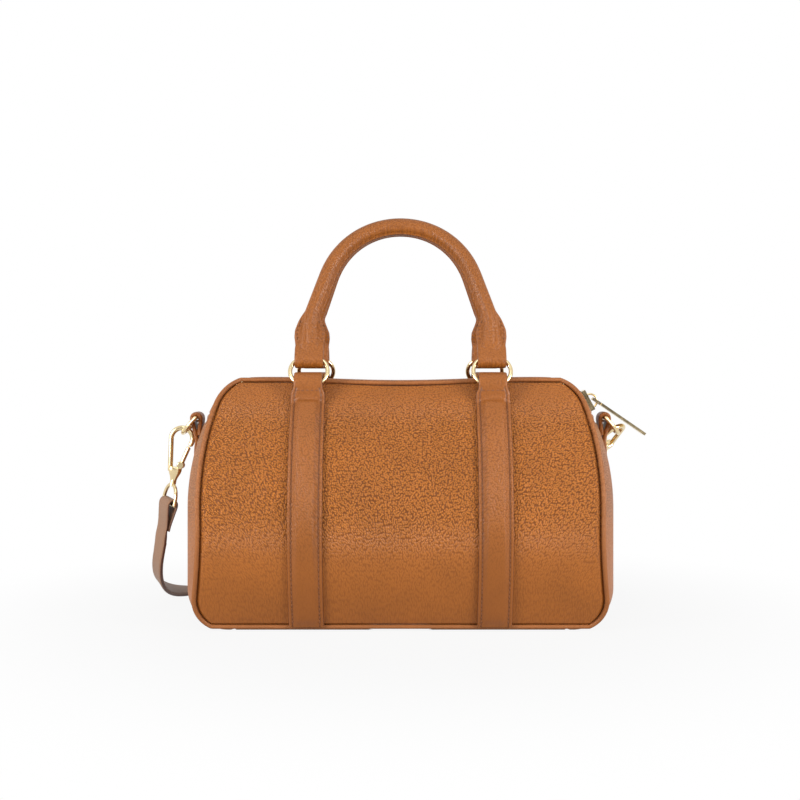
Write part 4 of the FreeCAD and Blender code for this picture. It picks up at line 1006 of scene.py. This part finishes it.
def hook_base(hook):
    """The hook's solid base: a rounded shield, wide below the gate and narrow at the swivel."""
    t = np.concatenate([[0.0, 0.02], np.linspace(0.06, 0.94, 24), [0.98, 1.0]])
    cap = np.concatenate([[0.7, 0.9], np.ones(24), [0.9, 0.65]])
    wide = (3.9 - 2.0 * smooth_step((t - 0.2) / 0.8)) * cap
    deep = (2.5 - 0.8 * smooth_step((t - 0.2) / 0.8)) * cap
    turn = full_turn(32)
    c, s = np.cos(turn), np.sin(turn)
    x = wide[:, None] * np.sign(c) * np.abs(c) ** 0.7 - 0.25 * (1 - t[:, None])
    y = deep[:, None] * np.sign(s) * np.abs(s) ** 0.7
    return loft(in_hook(hook, x, y, HOOK_BASE_TOP - HOOK_BASE_LONG * t[:, None] + 0 * x))


def disc(hook, x, z, radius, low, high):
    """A flat round boss across the hook, its rims rounded."""
    y = np.array([low, low + 0.1, low + 0.3, high - 0.3, high - 0.1, high])
    size = radius * np.array([0.8, 0.93, 1.0, 1.0, 0.93, 0.8])
    turn = full_turn(28)
    ring_x = x + size[:, None] * np.cos(turn)
    return loft(in_hook(hook, ring_x, y[:, None] + 0 * ring_x, z + size[:, None] * np.sin(turn)))


def hook_gate(hook):
    """The gate: a round bar from its pin up to the hook's nose, with a boss round the pin."""
    t = np.linspace(0, 1, 40)
    line = HOOK_PIN * (1 - t[:, None]) + HOOK_NOSE * t[:, None]
    path = in_hook(hook, line[:, 0], 0 * t, line[:, 1])
    return [tube(path, GATE_WIRE * np.sqrt(np.clip((1.01 - t) / 0.05, 0.2, 1.0)), hook[2]),
            disc(hook, *HOOK_PIN, 1.7, -1.1, 1.1)]


for name in ("left", "right"):
    hook = HOOKS[name]
    cheeks = [disc(hook, *HOOK_PIN, 2.2, *ends) for ends in ((1.3, 2.4), (-2.4, -1.3))]
    place(name + "_snap_hook", [hook_wire(hook), hook_base(hook)] + cheeks, GOLD, name + "_hook",
          [name + "_hook"])
    place(name + "_snap_gate", hook_gate(hook), GOLD, name + "_gate", [name + "_gate"])

strap_line = route_points(STRAP_ROUTE)
strap_path = strap_line / MM
strap_run = run_of(strap_path)
from_right = strap_run[-1] - strap_run
start_across = EYES["left"][1] * np.sign(EYES["left"][1][1])
end_across = EYES["right"][1] * np.sign(EYES["right"][1][1])
left_share = np.clip(1 - strap_run / LEFT_TWIST, 0, 1)[:, None]
right_share = np.clip(1 - from_right / RIGHT_TWIST, 0, 1)[:, None]
strap_wide = left_share * start_across + right_share * end_across + (1 - left_share - right_share) * Y
strap_way = unit(np.gradient(strap_path, axis=0))
strap_wide = unit(strap_wide - strap_way * np.einsum("ij,ij->i", strap_wide, strap_way)[:, None])
strap = place("shoulder_strap", [strip(strap_path, strap_wide, STRAP_HALF, STRAP_THICK)], STRAP, "bag",
              ["strap_left_drop", "strap_right_drop", "strap_hank"],
              strip_edges(len(strap_path)))


# ---- metal and inner nodes kept from the frame

def finish_node(name, material):
    """Gives a node of the frame its material."""
    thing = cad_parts[name]
    thing.data.materials.clear()
    thing.data.materials.append(material)


for side in ("left", "right"):
    for part in ("d_ring", "gate_pin", "swivel"):
        finish_node(side + "_" + part, GOLD)
    for face in ("front", "rear"):
        finish_node("%s_%s_ring" % (face, side), GOLD)
for name in ("zip_slider", "zip_pull", "zip_end_stops"):
    finish_node(name, GOLD)
finish_node("base_board", BOARD)


# ---- floor and light

floor_material, tree, shader = new_material("floor", 0.9)
feed(tree, shader, {"Base Color": (0.45, 0.45, 0.45, 1.0), "Specular IOR Level": 0.0})
glow = node(tree, "ShaderNodeEmission", {"Strength": 1.0})
away = node(tree, "ShaderNodeVectorMath", {0: here(tree)}, operation="LENGTH").outputs["Value"]
paler = mapped(tree, away, 0.11, 0.33, 0.9, 1.0, interpolation_type="SMOOTHSTEP")
share = math(tree, "MULTIPLY", straight_rays(tree), paler)
blend = node(tree, "ShaderNodeMixShader", {0: share, 1: shader.outputs[0], 2: glow.outputs[0]})
feed(tree, tree.nodes["Material Output"], {"Surface": blend.outputs[0]})


def stage_sheet(name, corners, face, material):
    """A four-cornered sheet with its material."""
    mesh = bpy.data.meshes.new(name)
    mesh.from_pydata(corners, [], [face])
    mesh.materials.append(material)
    thing = bpy.data.objects.new(name, mesh)
    bpy.context.collection.objects.link(thing)
    return thing


FLOOR_Z = -0.0003
floor = stage_sheet("floor", [(x, y, FLOOR_Z) for x, y in ((-3, -3), (3, -3), (3, 3), (-3, 3))],
                    (0, 1, 2, 3), floor_material)

# A dark card behind the camera, seen only in reflections, gives the metal and the leather their contrast.
card_material, tree, shader = new_material("dark_card", 0.9)
shader.inputs["Base Color"].default_value = (0.05, 0.035, 0.025, 1.0)
card = stage_sheet("dark_card", [(-0.75, -1.7, -0.6), (0.75, -1.7, -0.6), (0.75, -1.7, 0.75),
                                 (-0.75, -1.7, 0.75)], (0, 3, 2, 1), card_material)
card.visible_camera = card.visible_diffuse = card.visible_shadow = card.visible_transmission = False

world = bpy.data.worlds.new("world")
bpy.context.scene.world = world
world.use_nodes = True
tree = world.node_tree
tree.nodes.clear()
seen, lit = (node(tree, "ShaderNodeBackground", {"Color": (1, 1, 1, 1), "Strength": strength}).outputs[0]
             for strength in (1.0, 0.24))
choose = node(tree, "ShaderNodeMixShader", {0: straight_rays(tree), 1: lit, 2: seen})
node(tree, "ShaderNodeOutputWorld", {"Surface": choose.outputs[0]})


def area_light(name, at, target, size, power):
    """A square light at a place, turned to its target."""
    data = bpy.data.lights.new(name, "AREA")
    data.shape = "SQUARE"
    data.size = size
    data.energy = power
    thing = bpy.data.objects.new(name, data)
    away = unit(np.array(at) - np.array(target))
    side = unit(np.cross(Z, away))
    up = np.cross(away, side)
    matrix = np.eye(4)
    matrix[:3] = np.stack([side, up, away, at], axis=1)
    thing.matrix_world = Matrix(matrix.tolist())
    bpy.context.collection.objects.link(thing)


CENTRE = (0.0, 0.0, 0.09)
area_light("top_light", (0.0, -0.5, 1.2), CENTRE, 0.6, 2.4)
area_light("left_light", (-0.52, -0.40, 0.22), CENTRE, 0.28, 3.6)
area_light("right_light", (0.52, -0.40, 0.22), CENTRE, 0.28, 3.6)
area_light("front_light", (0.0, -1.4, 0.5), CENTRE, 0.6, 2.4)

bpy.context.scene.view_settings.view_transform = "Standard"
